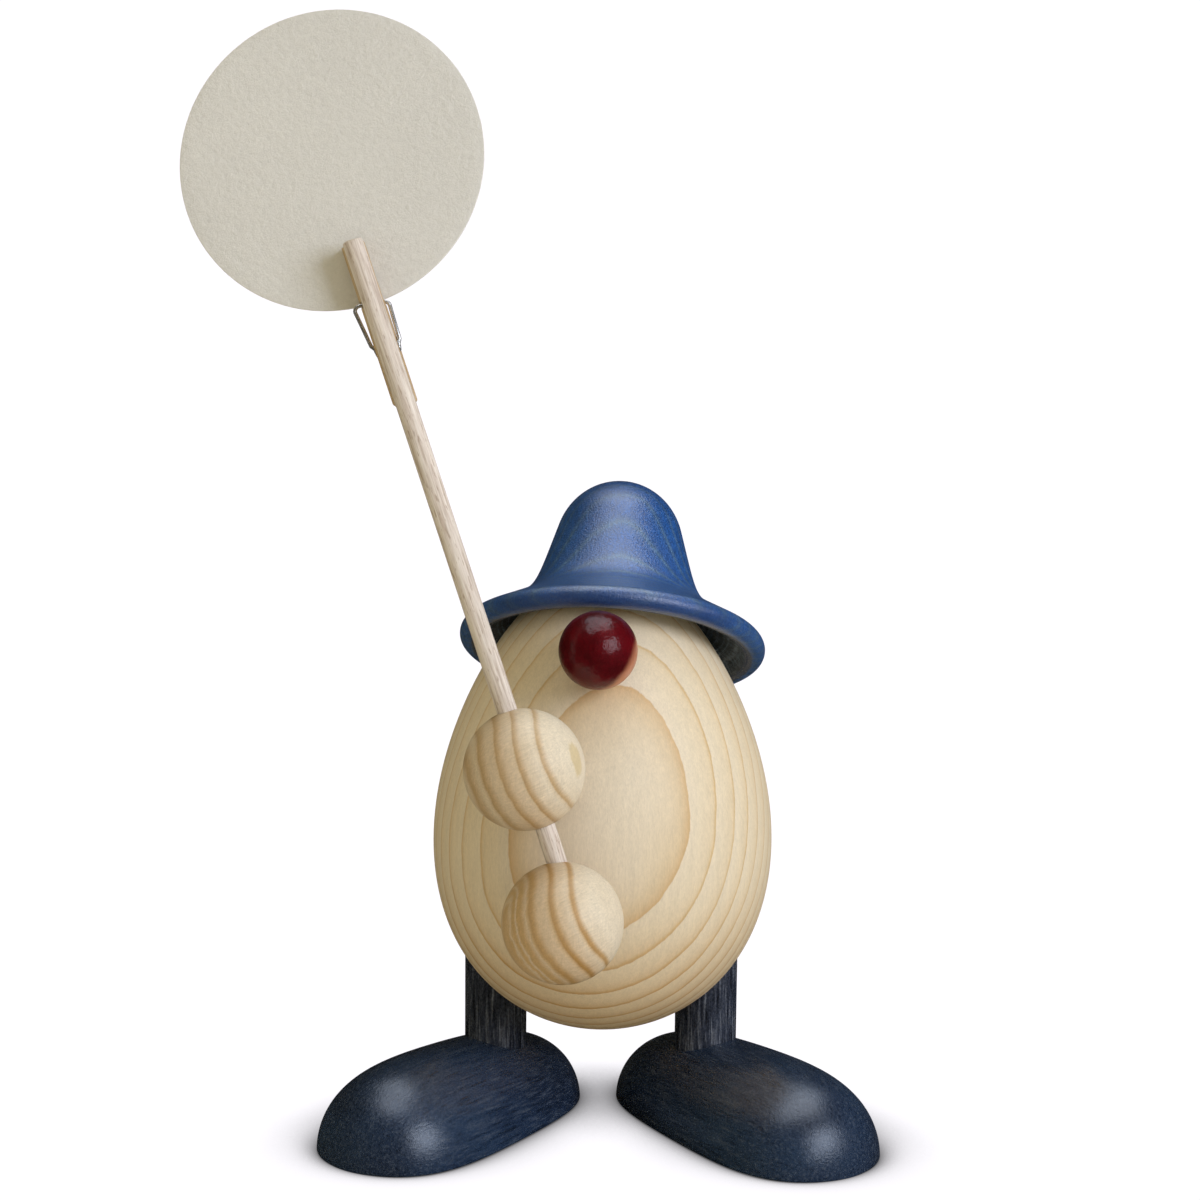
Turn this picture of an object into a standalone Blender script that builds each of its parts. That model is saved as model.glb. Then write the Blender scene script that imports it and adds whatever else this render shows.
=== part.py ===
"""A wooden egg figure in a bell hat that holds up a round card in a small
sprung peg on a rod. Metres, +Z up, the figure looks along -Y and stands on
z = 0; left and right are the viewer's, seen from the front."""

import math

import bmesh
import bpy
from mathutils import Matrix, Vector

MM = 0.001
GAP = 0.3 * MM  # between two pieces that touch on the object
FIT = 0.15 * MM  # round a dowel in its bore

# where the egg's upright axis stands, so that the frame's origin is the
# middle of the footprint
AXIS = Vector((10.2 * MM, 8.95 * MM, 0.0))

# egg body
EGG_RADIUS = 27.15 * MM
EGG_WIDEST_Z = 45.5 * MM
EGG_UP = 43.85 * MM  # from the widest ring to the top
EGG_DOWN = 30.55 * MM  # from the widest ring to the bottom
EGG_UP_SHAPE = (-0.283, 0.154)  # how the top half leaves an ellipse
EGG_DOWN_SHAPE = (0.100, -0.044)
EGG_STEPS = 48

# legs and shoes
LEG_X = 17.05 * MM
LEG_RADIUS = 5.0 * MM
LEG_FOOT_Z = 5.0 * MM
LEG_TOP_Z = 36.0 * MM
SHOE_LENGTH = 54.6 * MM
SHOE_TRIM = {-1: 1.0 * MM, 1: -0.3 * MM}  # off the left heel, onto the right one
SHOE_WIDTH = 31.8 * MM
SHOE_SHAPE = (0.097, 0.325)  # toe fuller than the heel, ends blunter than an ellipse
SHOE_SPLAY = math.radians(55.5)  # from the sideways axis towards the front
SHOE_CENTRE = (22.8 * MM, -7.0 * MM)
SHOE_EDGE = 0.4 * MM
SHOE_STEPS = 38

# hat: dome, bell flank and rolled rim on its own axis, which leans back
HAT_CENTRE = Vector((1.2 * MM, 5.2 * MM, 76.4 * MM))
HAT_TILT = math.radians(28.0)
HAT_ROLL = math.radians(3.4)
DOME_RADIUS = 10.5 * MM
DOME_HEIGHT = 11.15 * MM
DOME_BASE = 16.4 * MM
DOME_END = math.radians(17.0)
RIM_RADIUS = 22.85 * MM  # to the middle of the rolled rim
RIM_HALF = 1.75 * MM
RIM_START = math.radians(61.0)
RIM_END = math.radians(-125.0)
FLANK_PULL = (14.2 * MM, 12.6 * MM)
HOLLOW = ((20.3 * MM, 0.6 * MM), (12.0 * MM, 5.6 * MM))  # cone under the hat
HOLLOW_TOP = 7.2 * MM
HAT_STEPS = 48

# nose and hands, each a ball on a short dowel
NOSE_AT = Vector((-0.8 * MM, -22.2 * MM, 79.9 * MM))
NOSE_RADIUS = 6.0 * MM
HAND_RADIUS = 9.1 * MM
UPPER_HAND_AT = Vector((-11.5 * MM, -31.3 * MM, 63.45 * MM))
LOWER_HAND_AT = Vector((-5.55 * MM, -35.6 * MM, 41.2 * MM))
PEG_RADIUS = 1.5 * MM
NOSE_PEG_IN_BALL = 3.5 * MM
HAND_PEG_IN_BALL = 4.5 * MM
PEG_IN_EGG = 6.0 * MM

# rod: a point on its axis level with the lower hand, its lean, and its ends
ROD_AT = Vector((-3.45 * MM, -34.65 * MM, 41.0 * MM))
ROD_LEAN_SIDE = math.radians(18.9)
ROD_LEAN_BACK = math.radians(8.5)
ROD_RADIUS = 1.55 * MM
ROD_BORE_RADIUS = ROD_RADIUS + FIT
ROD_BELOW = 4.0 * MM
ROD_ABOVE = 106.8 * MM
ROD_EDGE = 0.4 * MM

# sprung peg: two levers, jaws up, its front lever lying along the rod
PEG_CLIP_SIDE = -0.25 * MM  # off the rod's axis
CLIP_LENGTH = 25.0 * MM
CLIP_WIDTH = 3.5 * MM
CLIP_TIP = 106.6 * MM  # along the rod
LEVER_THICK = 2.0 * MM
LEVER_TAIL = 1.1 * MM
JAW_HALF_GAP = 0.55 * MM
COIL_FROM_TIP = 16.0 * MM
COIL_SEAT_RADIUS = 1.5 * MM
NOTCH_FROM_TIP = 5.6 * MM
NOTCH_RADIUS = 0.8 * MM
GROOVE_FROM_TIP = 9.1 * MM
GROOVE_HALF = 0.5 * MM
GROOVE_DEEP = 0.8 * MM

# spring: one wire, a coil between the levers and an arm over each lever
WIRE_RADIUS = 0.3 * MM
COIL_RADIUS = 0.95 * MM  # to the middle of the wire
COIL_TURNS = 5.5
COIL_HALF_WIDTH = 1.75 * MM
ARM_CLEAR = 2.12 * MM  # beside the lever, just above the coil
FRONT_ARM_BULGE = 2.8 * MM
REAR_ARM_BULGE = 2.25 * MM
ARM_REACH = 1.3 * MM

# card
CARD_LONG = 23.3 * MM  # half the card, which is cut a little out of round
CARD_SHORT = 22.23 * MM
CARD_TURN = math.radians(19.6)  # its long way, from across the rod towards up
CARD_THICK = 0.6 * MM
CARD_AT = (0.67 * MM, 119.85 * MM)  # across and along the rod
CARD_STEPS = 72


# ---------------------------------------------------------------- the scene
for old in list(bpy.data.objects):
    bpy.data.objects.remove(old, do_unlink=True)

scene = bpy.context.scene
PARTS = bpy.data.collections.new("egg_figure_with_card")
HELPERS = bpy.data.collections.new("cutters")
scene.collection.children.link(PARTS)
scene.collection.children.link(HELPERS)


def material(name, colour, roughness, metallic=0.0):
    made = bpy.data.materials.new(name)
    made.use_nodes = True
    shader = made.node_tree.nodes["Principled BSDF"]
    shader.inputs["Base Color"].default_value = (*colour, 1.0)
    shader.inputs["Roughness"].default_value = roughness
    shader.inputs["Metallic"].default_value = metallic
    made.diffuse_color = (*colour, 1.0)
    return made


PINE = material("pine_oiled", (0.68, 0.53, 0.34), 0.45)
BEECH = material("beech_plain", (0.62, 0.50, 0.41), 0.6)
BIRCH = material("birch_yellow", (0.66, 0.52, 0.33), 0.6)
BLUE = material("wood_blue_stain", (0.05, 0.12, 0.32), 0.4)
NAVY = material("wood_navy_stain", (0.012, 0.02, 0.045), 0.4)
MAROON = material("wood_maroon_lacquer", (0.16, 0.01, 0.02), 0.25)
STEEL = material("spring_wire", (0.45, 0.45, 0.46), 0.3, 1.0)
PAPER = material("card_ivory", (0.58, 0.55, 0.46), 0.9)


def place(obj, frame, colour, collection=PARTS):
    """Gives an object its frame, its material and its collection."""
    obj.matrix_world = frame
    for held in list(obj.users_collection):
        held.objects.unlink(obj)
    collection.objects.link(obj)
    if colour is not None:
        obj.data.materials.clear()
        obj.data.materials.append(colour)
    if collection is HELPERS:
        obj.hide_render = True
        obj.display_type = "WIRE"
    return obj


def columns(x, y, z, at):
    """The frame whose axes are x, y and z and whose origin is at a point."""
    frame = Matrix.Identity(4)
    for i, axis in enumerate((x, y, z)):
        for j in range(3):
            frame[j][i] = axis[j]
    for j in range(3):
        frame[j][3] = at[j]
    return frame


def frame_along(direction, at):
    """A frame whose Z runs along a direction."""
    z = direction.normalized()
    side = Vector((1.0, 0.0, 0.0)) if abs(z.x) < 0.9 else Vector((0.0, 1.0, 0.0))
    y = z.cross(side).normalized()
    return columns(y.cross(z), y, z, at)


def turned(name, profile, steps, frame, colour, collection=PARTS):
    """A body turned from a half profile of (radius, height), top to bottom."""
    mesh = bpy.data.meshes.new(name)
    points = [(r, 0.0, z) for r, z in profile]
    mesh.from_pydata(points, [(i, i + 1) for i in range(len(points) - 1)], [])
    obj = bpy.data.objects.new(name, mesh)
    screw = obj.modifiers.new("turn", "SCREW")
    screw.axis = "Z"
    screw.steps = steps
    screw.render_steps = steps
    screw.use_merge_vertices = True
    screw.merge_threshold = 0.00001
    screw.use_smooth_shade = True
    return place(obj, frame, colour, collection)


def ball(name, radius, at, colour, frame=None):
    mesh = bpy.data.meshes.new(name)
    work = bmesh.new()
    bmesh.ops.create_uvsphere(work, u_segments=32, v_segments=16, radius=radius)
    for face in work.faces:
        face.smooth = True
    work.to_mesh(mesh)
    work.free()
    obj = bpy.data.objects.new(name, mesh)
    return place(obj, frame or Matrix.Translation(at), colour)


def rod(name, radius, low, high, frame, colour, collection=PARTS, sides=28, edge=0.0):
    """A round bar along its frame's Z, from low to high."""
    mesh = bpy.data.meshes.new(name)
    work = bmesh.new()
    bmesh.ops.create_cone(
        work,
        cap_ends=True,
        segments=sides,
        radius1=radius,
        radius2=radius,
        depth=high - low,
        matrix=Matrix.Translation((0.0, 0.0, (low + high) / 2)),
    )
    for face in work.faces:
        face.smooth = len(face.verts) == 4
    work.to_mesh(mesh)
    work.free()
    obj = bpy.data.objects.new(name, mesh)
    if edge:
        bevel = obj.modifiers.new("edge", "BEVEL")
        bevel.width = edge
        bevel.segments = 2
        bevel.limit_method = "ANGLE"
        bevel.angle_limit = math.radians(50)
    return place(obj, frame, colour, collection)


def cut(obj, cutter):
    made = obj.modifiers.new("cut_" + cutter.name, "BOOLEAN")
    made.operation = "DIFFERENCE"
    made.solver = "EXACT"
    made.object = cutter


def bezier(a, b, c, d, count):
    """Points along a cubic curve, without its first."""
    made = []
    for i in range(1, count + 1):
        t = i / count
        u = 1 - t
        made.append(
            tuple(
                u**3 * a[k] + 3 * u * u * t * b[k] + 3 * u * t * t * c[k] + t**3 * d[k]
                for k in range(2)
            )
        )
    return made


# ---------------------------------------------------------------- the egg
def egg_profile(rows=12, grow=0.0):
    """(radius, height) from top to bottom. grow moves the outline outwards."""
    made = []
    for i in range(2 * rows + 1):
        t = math.pi / 2 * (1 - i / rows)
        s = math.sin(t)
        near, far = EGG_UP_SHAPE if t > 0 else EGG_DOWN_SHAPE
        swell = 1 + near * s * s + far * abs(s) ** 3
        reach = EGG_UP if t > 0 else EGG_DOWN
        radius = 0.0 if i in (0, 2 * rows) else EGG_RADIUS * math.cos(t) * swell
        made.append((radius, EGG_WIDEST_Z + reach * s))
    if not grow:
        return made
    grown = []
    for i, (r, z) in enumerate(made):
        if i in (0, len(made) - 1):
            grown.append((0.0, z + (grow if i == 0 else -grow)))
            continue
        along = Vector((made[i + 1][0] - made[i - 1][0], made[i + 1][1] - made[i - 1][1]))
        out = Vector((-along.y, along.x)).normalized()
        grown.append((r + grow * out.x, z + grow * out.y))
    return grown


def nearest_on_egg(point):
    """The egg's surface point nearest to a point in front of it."""
    fine = egg_profile(400)
    reach = math.hypot(point.x, point.y)
    r, z = min(fine, key=lambda q: math.hypot(q[0] - reach, q[1] - point.z))
    return Vector((point.x / reach * r, point.y / reach * r, z))


def resting(at, radius):
    """Where a ball of this radius stands when it all but touches the egg."""
    foot = nearest_on_egg(at)
    out = (at - foot).normalized()
    return foot + out * (radius + GAP), out


figure = Matrix.Translation(AXIS)
egg = turned("egg_body", egg_profile(), EGG_STEPS, figure, PINE)

# ---------------------------------------------------------------- legs and shoes
def shoe_profile(length, rows=18):
    """(radius, place along the shoe) from toe to heel."""
    made = []
    full, blunt = SHOE_SHAPE
    for i in range(rows + 1):
        s = math.sin(math.pi / 2 * (1 - 2 * i / rows))
        r = SHOE_WIDTH / 2 * math.sqrt(max(0.0, 1 - s * s))
        r *= 1 + full * s + blunt * (s * s - 0.5)
        made.append((0.0 if i in (0, rows) else r, length / 2 * s))
    return made


floor = bpy.data.meshes.new("below_floor")
work = bmesh.new()
bmesh.ops.create_cube(work, size=0.2)
bmesh.ops.translate(work, verts=work.verts, vec=(0.0, 0.0, -0.1))
work.to_mesh(floor)
work.free()
below_floor = place(
    bpy.data.objects.new("below_floor", floor), Matrix.Translation(AXIS), None, HELPERS
)

for side, hand in (("left", -1), ("right", 1)):
    stand = Matrix.Translation(AXIS + Vector((hand * LEG_X, 0.0, 0.0)))
    rod(side + "_leg", LEG_RADIUS, LEG_FOOT_Z, LEG_TOP_Z, stand, NAVY)

    toe = Vector((hand * math.cos(SHOE_SPLAY), -math.sin(SHOE_SPLAY), 0.0))
    down = Vector((0.0, 0.0, -1.0))
    at = AXIS + Vector((hand * SHOE_CENTRE[0], SHOE_CENTRE[1], 0.02 * MM))
    at += toe * SHOE_TRIM[hand] / 2
    shoe = turned(
        side + "_shoe",
        shoe_profile(SHOE_LENGTH - SHOE_TRIM[hand]),
        SHOE_STEPS,
        columns(down, toe.cross(down), toe, at),
        NAVY,
    )
    cut(shoe, below_floor)
    edge = shoe.modifiers.new("sole_edge", "BEVEL")
    edge.width = SHOE_EDGE
    edge.segments = 2
    edge.limit_method = "ANGLE"
    edge.angle_limit = math.radians(55)
    for body, low, high, name in (
        (shoe, LEG_FOOT_Z - GAP, 40 * MM, "_ankle_bore"),
        (egg, 0.0, LEG_TOP_Z + GAP, "_hip_bore"),
    ):
        bore = rod(side + name, LEG_RADIUS + FIT, low, high, stand, None, HELPERS)
        cut(body, bore)

# ---------------------------------------------------------------- hat
def hat_profile():
    """(radius, height) over the dome, down the flank, round the rim, and up
    the hollow to its ceiling."""
    made = [(0.0, DOME_BASE + DOME_HEIGHT)]
    for i in range(1, 9):
        t = math.pi / 2 + (DOME_END - math.pi / 2) * i / 8
        made.append((DOME_RADIUS * math.cos(t), DOME_BASE + DOME_HEIGHT * math.sin(t)))
    start = made[-1]
    slope = Vector((DOME_RADIUS * math.sin(DOME_END), -DOME_HEIGHT * math.cos(DOME_END)))
    slope = slope.normalized() * FLANK_PULL[0]
    end = (
        RIM_RADIUS + RIM_HALF * math.cos(RIM_START),
        RIM_HALF * math.sin(RIM_START),
    )
    into = Vector((math.sin(RIM_START), -math.cos(RIM_START))) * FLANK_PULL[1]
    made += bezier(
        start,
        (start[0] + slope.x, start[1] + slope.y),
        (end[0] - into.x, end[1] - into.y),
        end,
        9,
    )
    for i in range(1, 9):
        t = RIM_START + (RIM_END - RIM_START) * i / 8
        made.append((RIM_RADIUS + RIM_HALF * math.cos(t), RIM_HALF * math.sin(t)))
    for a, b in zip((made[-1],) + HOLLOW, HOLLOW):
        for k in (1, 2):
            t = k / 2
            made.append((a[0] + (b[0] - a[0]) * t, a[1] + (b[1] - a[1]) * t))
    made.append((0.0, HOLLOW_TOP))
    return made


hat_frame = (
    Matrix.Translation(AXIS + HAT_CENTRE)
    @ Matrix.Rotation(HAT_ROLL, 4, "Y")
    @ Matrix.Rotation(-HAT_TILT, 4, "X")
)
hat = turned("hat", hat_profile(), HAT_STEPS, hat_frame, BLUE)
head = turned(
    "egg_in_hat", egg_profile(20, GAP), EGG_STEPS, figure, None, HELPERS
)
cut(hat, head)

# ---------------------------------------------------------------- the rod's frame
up = Vector(
    (
        -math.sin(ROD_LEAN_SIDE),
        math.cos(ROD_LEAN_SIDE) * math.sin(ROD_LEAN_BACK),
        math.cos(ROD_LEAN_SIDE) * math.cos(ROD_LEAN_BACK),
    )
)
back = Vector((0.0, math.cos(ROD_LEAN_BACK), -math.sin(ROD_LEAN_BACK)))
across = back.cross(up)
rod_frame = columns(across, back, up, AXIS + ROD_AT)
rod(
    "message_rod",
    ROD_RADIUS,
    -ROD_BELOW,
    ROD_ABOVE,
    rod_frame,
    BEECH,
    edge=ROD_EDGE,
)

# ---------------------------------------------------------------- nose and hands
def on_dowel(name, at, radius, colour, depth):
    """A ball on the egg and the dowel that joins them, with their bores."""
    centre, out = resting(at, radius)
    made = ball(name, radius, AXIS + centre, colour)
    along = frame_along(out, AXIS + centre)
    top = depth - radius
    foot = -(radius + GAP + PEG_IN_EGG)
    rod(name + "_dowel", PEG_RADIUS, foot, top, along, BIRCH, sides=20)
    bore = rod(
        name + "_bore", PEG_RADIUS + FIT, foot - GAP, top + GAP, along, None, HELPERS, 20
    )
    cut(made, bore)
    cut(egg, bore)
    return made


on_dowel("nose", NOSE_AT, NOSE_RADIUS, MAROON, NOSE_PEG_IN_BALL)
upper = on_dowel("upper_hand", UPPER_HAND_AT, HAND_RADIUS, PINE, HAND_PEG_IN_BALL)
lower = on_dowel("lower_hand", LOWER_HAND_AT, HAND_RADIUS, PINE, HAND_PEG_IN_BALL)
rod_bore = rod(
    "rod_bore",
    ROD_BORE_RADIUS,
    -ROD_BELOW - GAP,
    60 * MM,
    rod_frame,
    None,
    HELPERS,
)
cut(upper, rod_bore)
cut(lower, rod_bore)

# ---------------------------------------------------------------- sprung peg
MID = ROD_RADIUS + GAP + LEVER_THICK + JAW_HALF_GAP  # jaw plane, behind the rod's axis
TIP = AXIS + ROD_AT + up * CLIP_TIP + across * PEG_CLIP_SIDE + back * MID
COIL_AT = TIP - up * COIL_FROM_TIP


def arc(cx, cy, radius, start, end, count):
    return [
        (
            cx + radius * math.cos(start + (end - start) * i / count),
            cy + radius * math.sin(start + (end - start) * i / count),
        )
        for i in range(count + 1)
    ]


def lever_outline():
    """The rear lever's outline, seen along the coil: x from the jaw plane
    outwards, y from the coil's axis up to the jaw tip."""
    inner, outer = JAW_HALF_GAP, JAW_HALF_GAP + LEVER_THICK
    top, foot = COIL_FROM_TIP, COIL_FROM_TIP - CLIP_LENGTH
    groove = COIL_FROM_TIP - GROOVE_FROM_TIP
    notch = COIL_FROM_TIP - NOTCH_FROM_TIP
    rise = math.sqrt(COIL_SEAT_RADIUS**2 - inner**2)
    turn = math.atan2(rise, inner)
    made = arc(outer - 0.5 * MM, top - 0.5 * MM, 0.5 * MM, 0.0, math.pi / 2, 3)
    made += arc(inner + 0.25 * MM, top - 0.25 * MM, 0.25 * MM, math.pi / 2, math.pi, 2)
    made += arc(inner, notch, NOTCH_RADIUS, math.pi / 2, -math.pi / 2, 7)
    made += arc(0.0, 0.0, COIL_SEAT_RADIUS, turn, -turn, 8)
    made.append((inner + 0.05 * MM, -rise - 0.6 * MM))
    made += arc(outer - LEVER_TAIL + 0.3 * MM, foot + 0.3 * MM, 0.3 * MM, math.pi, 1.5 * math.pi, 2)
    made += arc(outer - 0.4 * MM, foot + 0.4 * MM, 0.4 * MM, -math.pi / 2, 0.0, 3)
    made += [
        (outer, groove - GROOVE_HALF),
        (outer - GROOVE_DEEP, groove - GROOVE_HALF),
        (outer - GROOVE_DEEP, groove + GROOVE_HALF),
        (outer, groove + GROOVE_HALF),
    ]
    return made


def flat_piece(name, outline, half, frame, colour):
    """A flat outline in its frame's XY, as thick as twice half."""
    curve = bpy.data.curves.new(name, "CURVE")
    curve.dimensions = "2D"
    curve.fill_mode = "BOTH"
    curve.extrude = half
    spline = curve.splines.new("POLY")
    spline.points.add(len(outline) - 1)
    for point, (x, y) in zip(spline.points, outline):
        point.co = (x, y, 0.0, 1.0)
    spline.use_cyclic_u = True
    return place(bpy.data.objects.new(name, curve), frame, colour)


flat_piece(
    "clip_rear_lever",
    lever_outline(),
    CLIP_WIDTH / 2,
    columns(back, up, across, COIL_AT),
    BIRCH,
)
flat_piece(
    "clip_front_lever",
    lever_outline(),
    CLIP_WIDTH / 2,
    columns(-back, up, -across, COIL_AT),
    BIRCH,
)


def spring_path():
    """(across, back, up) from the coil's axis: the arm over the front lever,
    the coil, and the arm over the rear lever."""
    lie = JAW_HALF_GAP + LEVER_THICK - WIRE_RADIUS - 0.07 * MM
    level = COIL_FROM_TIP - GROOVE_FROM_TIP

    def arm(bulge):
        """From the coil's end at its side to the end of the arm."""
        made = []
        steps = 7
        for i in range(1, steps + 1):
            t = i / steps
            made.append(
                (
                    ARM_CLEAR + (bulge - ARM_CLEAR) * t,
                    COIL_RADIUS + (lie - COIL_RADIUS) * t * t,
                    (level - 0.75 * MM) * t,
                )
            )
        for i in range(1, 5):
            t = math.pi / 2 * i / 4
            made.append(
                (
                    bulge - 0.75 * MM * (1 - math.cos(t)),
                    lie,
                    level - 0.75 * MM * (1 - math.sin(t)),
                )
            )
        made.append((-ARM_REACH, lie, level))
        return made

    path = [(-x, -y, z) for x, y, z in reversed(arm(FRONT_ARM_BULGE))]
    parts = round(COIL_TURNS * 10)
    for i in range(parts + 1):
        turn = math.pi + 2 * math.pi * COIL_TURNS * i / parts
        path.append(
            (
                -COIL_HALF_WIDTH + 2 * COIL_HALF_WIDTH * i / parts,
                COIL_RADIUS * math.cos(turn),
                COIL_RADIUS * math.sin(turn),
            )
        )
    return path + arm(REAR_ARM_BULGE)


wire = bpy.data.curves.new("clip_spring", "CURVE")
wire.dimensions = "3D"
wire.bevel_depth = WIRE_RADIUS
wire.bevel_resolution = 2
wire.use_fill_caps = True
points = spring_path()
line = wire.splines.new("POLY")
line.points.add(len(points) - 1)
for point, (x, y, z) in zip(line.points, points):
    point.co = (x, y, z, 1.0)
place(
    bpy.data.objects.new("clip_spring", wire),
    columns(across, back, up, COIL_AT),
    STEEL,
)

# ---------------------------------------------------------------- card
card_at = AXIS + ROD_AT + across * CARD_AT[0] + up * CARD_AT[1] + back * MID
longways = across * math.cos(CARD_TURN) + up * math.sin(CARD_TURN)
round_card = rod(
    "round_card",
    CARD_LONG,
    -CARD_THICK / 2,
    CARD_THICK / 2,
    columns(longways.cross(back), longways, back, card_at),
    PAPER,
    sides=CARD_STEPS,
)
round_card.data.transform(Matrix.Diagonal((CARD_SHORT / CARD_LONG, 1.0, 1.0, 1.0)))

for name, value in (
    ("coil axis at", COIL_AT),
    ("coil axis along", across),
    ("rod along", up),
    ("rod behind", back),
    ("rod foot", AXIS + ROD_AT - up * ROD_BELOW),
    ("card at", card_at),
):
    print(name, [round(v, 6) for v in value])
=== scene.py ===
"""The looks of a wooden egg figure in a bell hat that holds up a round card in
a small sprung peg on a rod. Metres, +Z up, the figure looks along -Y. Left and
right are the viewer's, seen from the front."""

import math

import bmesh
import bpy
from mathutils import Matrix, Vector, noise


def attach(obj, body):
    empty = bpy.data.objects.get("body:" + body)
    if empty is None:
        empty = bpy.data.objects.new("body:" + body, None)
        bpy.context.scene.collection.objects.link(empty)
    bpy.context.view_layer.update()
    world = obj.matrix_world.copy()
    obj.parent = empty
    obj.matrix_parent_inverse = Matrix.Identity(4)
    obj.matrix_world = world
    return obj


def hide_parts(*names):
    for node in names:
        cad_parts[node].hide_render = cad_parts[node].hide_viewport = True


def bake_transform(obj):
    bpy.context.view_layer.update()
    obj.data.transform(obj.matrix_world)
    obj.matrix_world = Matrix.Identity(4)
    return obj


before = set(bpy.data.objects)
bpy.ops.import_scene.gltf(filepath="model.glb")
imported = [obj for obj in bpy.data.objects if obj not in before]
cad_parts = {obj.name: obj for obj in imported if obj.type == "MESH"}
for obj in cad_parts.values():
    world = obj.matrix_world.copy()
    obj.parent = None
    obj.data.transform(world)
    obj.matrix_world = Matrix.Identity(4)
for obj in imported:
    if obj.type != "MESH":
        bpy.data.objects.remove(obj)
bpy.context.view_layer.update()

MM = 0.001
AXIS = Vector((10.2, 8.95, 0.0)) * MM  # the egg's upright axis

# egg: half profile radius * cos(t) * (1 + near s^2 + far s^3), s = sin(t)
EGG_RADIUS, EGG_WIDEST_Z, EGG_UP, EGG_DOWN = 27.15 * MM, 45.5 * MM, 43.85 * MM, 30.55 * MM
EGG_UP_SHAPE, EGG_DOWN_SHAPE = (-0.283, 0.154), (0.100, -0.044)

LEG_X, LEG_RADIUS, LEG_FOOT_Z, LEG_TOP_Z = 17.05 * MM, 5.0 * MM, 5.0 * MM, 36.0 * MM
SHOE_LENGTH, SHOE_WIDTH, SHOE_SHAPE = 54.6 * MM, 31.8 * MM, (0.097, 0.325)
SHOE_SPLAY, SHOE_CENTRE = math.radians(55.5), (22.8 * MM, -7.0 * MM)
SHOE_TRIM = {-1: 1.0 * MM, 1: -0.3 * MM}  # off the left heel, onto the right one

HAT_CENTRE = Vector((1.2, 5.2, 76.4)) * MM
HAT_TILT, HAT_ROLL = math.radians(28.0), math.radians(3.4)
DOME_RADIUS, DOME_HEIGHT, DOME_BASE, DOME_END = 10.5 * MM, 11.15 * MM, 16.4 * MM, math.radians(17)
RIM_RADIUS, RIM_HALF, RIM_START, RIM_END = 22.85 * MM, 1.75 * MM, math.radians(61), math.radians(-125)
FLANK_PULL = (14.2 * MM, 12.6 * MM)
HOLLOW, HOLLOW_TOP = ((20.3 * MM, 0.6 * MM), (12.0 * MM, 5.6 * MM)), 7.2 * MM

NOSE_AT, NOSE_RADIUS = Vector((-0.8, -22.2, 79.9)) * MM, 6.0 * MM
HAND_RADIUS = 9.1 * MM
UPPER_HAND_AT = Vector((-11.5, -31.3, 63.45)) * MM
LOWER_HAND_AT = Vector((-5.55, -35.6, 41.2)) * MM
PEG_RADIUS, PEG_IN_EGG, NOSE_PEG, HAND_PEG = 1.5 * MM, 6.0 * MM, 3.5 * MM, 4.5 * MM
GAP = 0.3 * MM

ROD_AT = Vector((-3.45, -34.65, 41.0)) * MM
ROD_LEAN_SIDE, ROD_LEAN_BACK = math.radians(18.9), math.radians(8.5)
ROD_RADIUS, ROD_BELOW, ROD_ABOVE = 1.55 * MM, 4.0 * MM, 106.8 * MM

PEG_CLIP_SIDE, CLIP_LENGTH, CLIP_WIDTH, CLIP_TIP = -0.25 * MM, 25.0 * MM, 3.5 * MM, 106.6 * MM
LEVER_THICK, LEVER_TAIL, JAW_HALF_GAP = 2.0 * MM, 1.1 * MM, 0.55 * MM
COIL_FROM_TIP, COIL_SEAT_RADIUS = 16.0 * MM, 1.5 * MM
NOTCH_FROM_TIP, NOTCH_RADIUS = 5.6 * MM, 0.8 * MM
GROOVE_FROM_TIP, GROOVE_HALF, GROOVE_DEEP = 9.1 * MM, 0.5 * MM, 0.8 * MM
WIRE_RADIUS, COIL_RADIUS, COIL_TURNS, COIL_HALF_WIDTH = 0.3 * MM, 0.95 * MM, 5.5, 1.75 * MM
ARM_CLEAR, FRONT_ARM_BULGE, REAR_ARM_BULGE, ARM_REACH = 2.12 * MM, 2.8 * MM, 2.25 * MM, 1.3 * MM

CARD_LONG, CARD_SHORT, CARD_TURN = 23.3 * MM, 22.23 * MM, math.radians(19.6)  # cut a little out of round
CARD_THICK, CARD_AT = 0.6 * MM, (0.67 * MM, 119.85 * MM)


# ------------------------------------------------------------------ camera
def columns(x, y, z, at):
    made = Matrix.Identity(4)
    for i, axis in enumerate((x, y, z)):
        for j in range(3):
            made[j][i] = axis[j]
    for j in range(3):
        made[j][3] = at[j]
    return made


eye_back = Vector((0.0086, -0.9886, 0.1504)).normalized()
eye_up = Vector((-0.0118, 0.1503, 0.9886))
eye_right = eye_up.cross(eye_back).normalized()
eye_up = eye_back.cross(eye_right).normalized()
lens = bpy.data.cameras.new("camera")
lens.lens = 82.05
lens.sensor_width = 36.0
lens.clip_start = 0.01
lens.clip_end = 20.0
camera = bpy.data.objects.new("camera", lens)
bpy.context.scene.collection.objects.link(camera)
camera.matrix_world = columns(eye_right, eye_up, eye_back, Vector((0.01313, -0.42040, 0.14964)))
bpy.context.scene.camera = camera

scene = bpy.context.scene
scene.view_settings.view_transform = "Standard"
scene.view_settings.look = "None"


# ------------------------------------------------------------------ meshes
def linked(name, mesh, at):
    obj = bpy.data.objects.new(name, mesh)
    scene.collection.objects.link(obj)
    obj.matrix_world = at
    return obj


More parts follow.
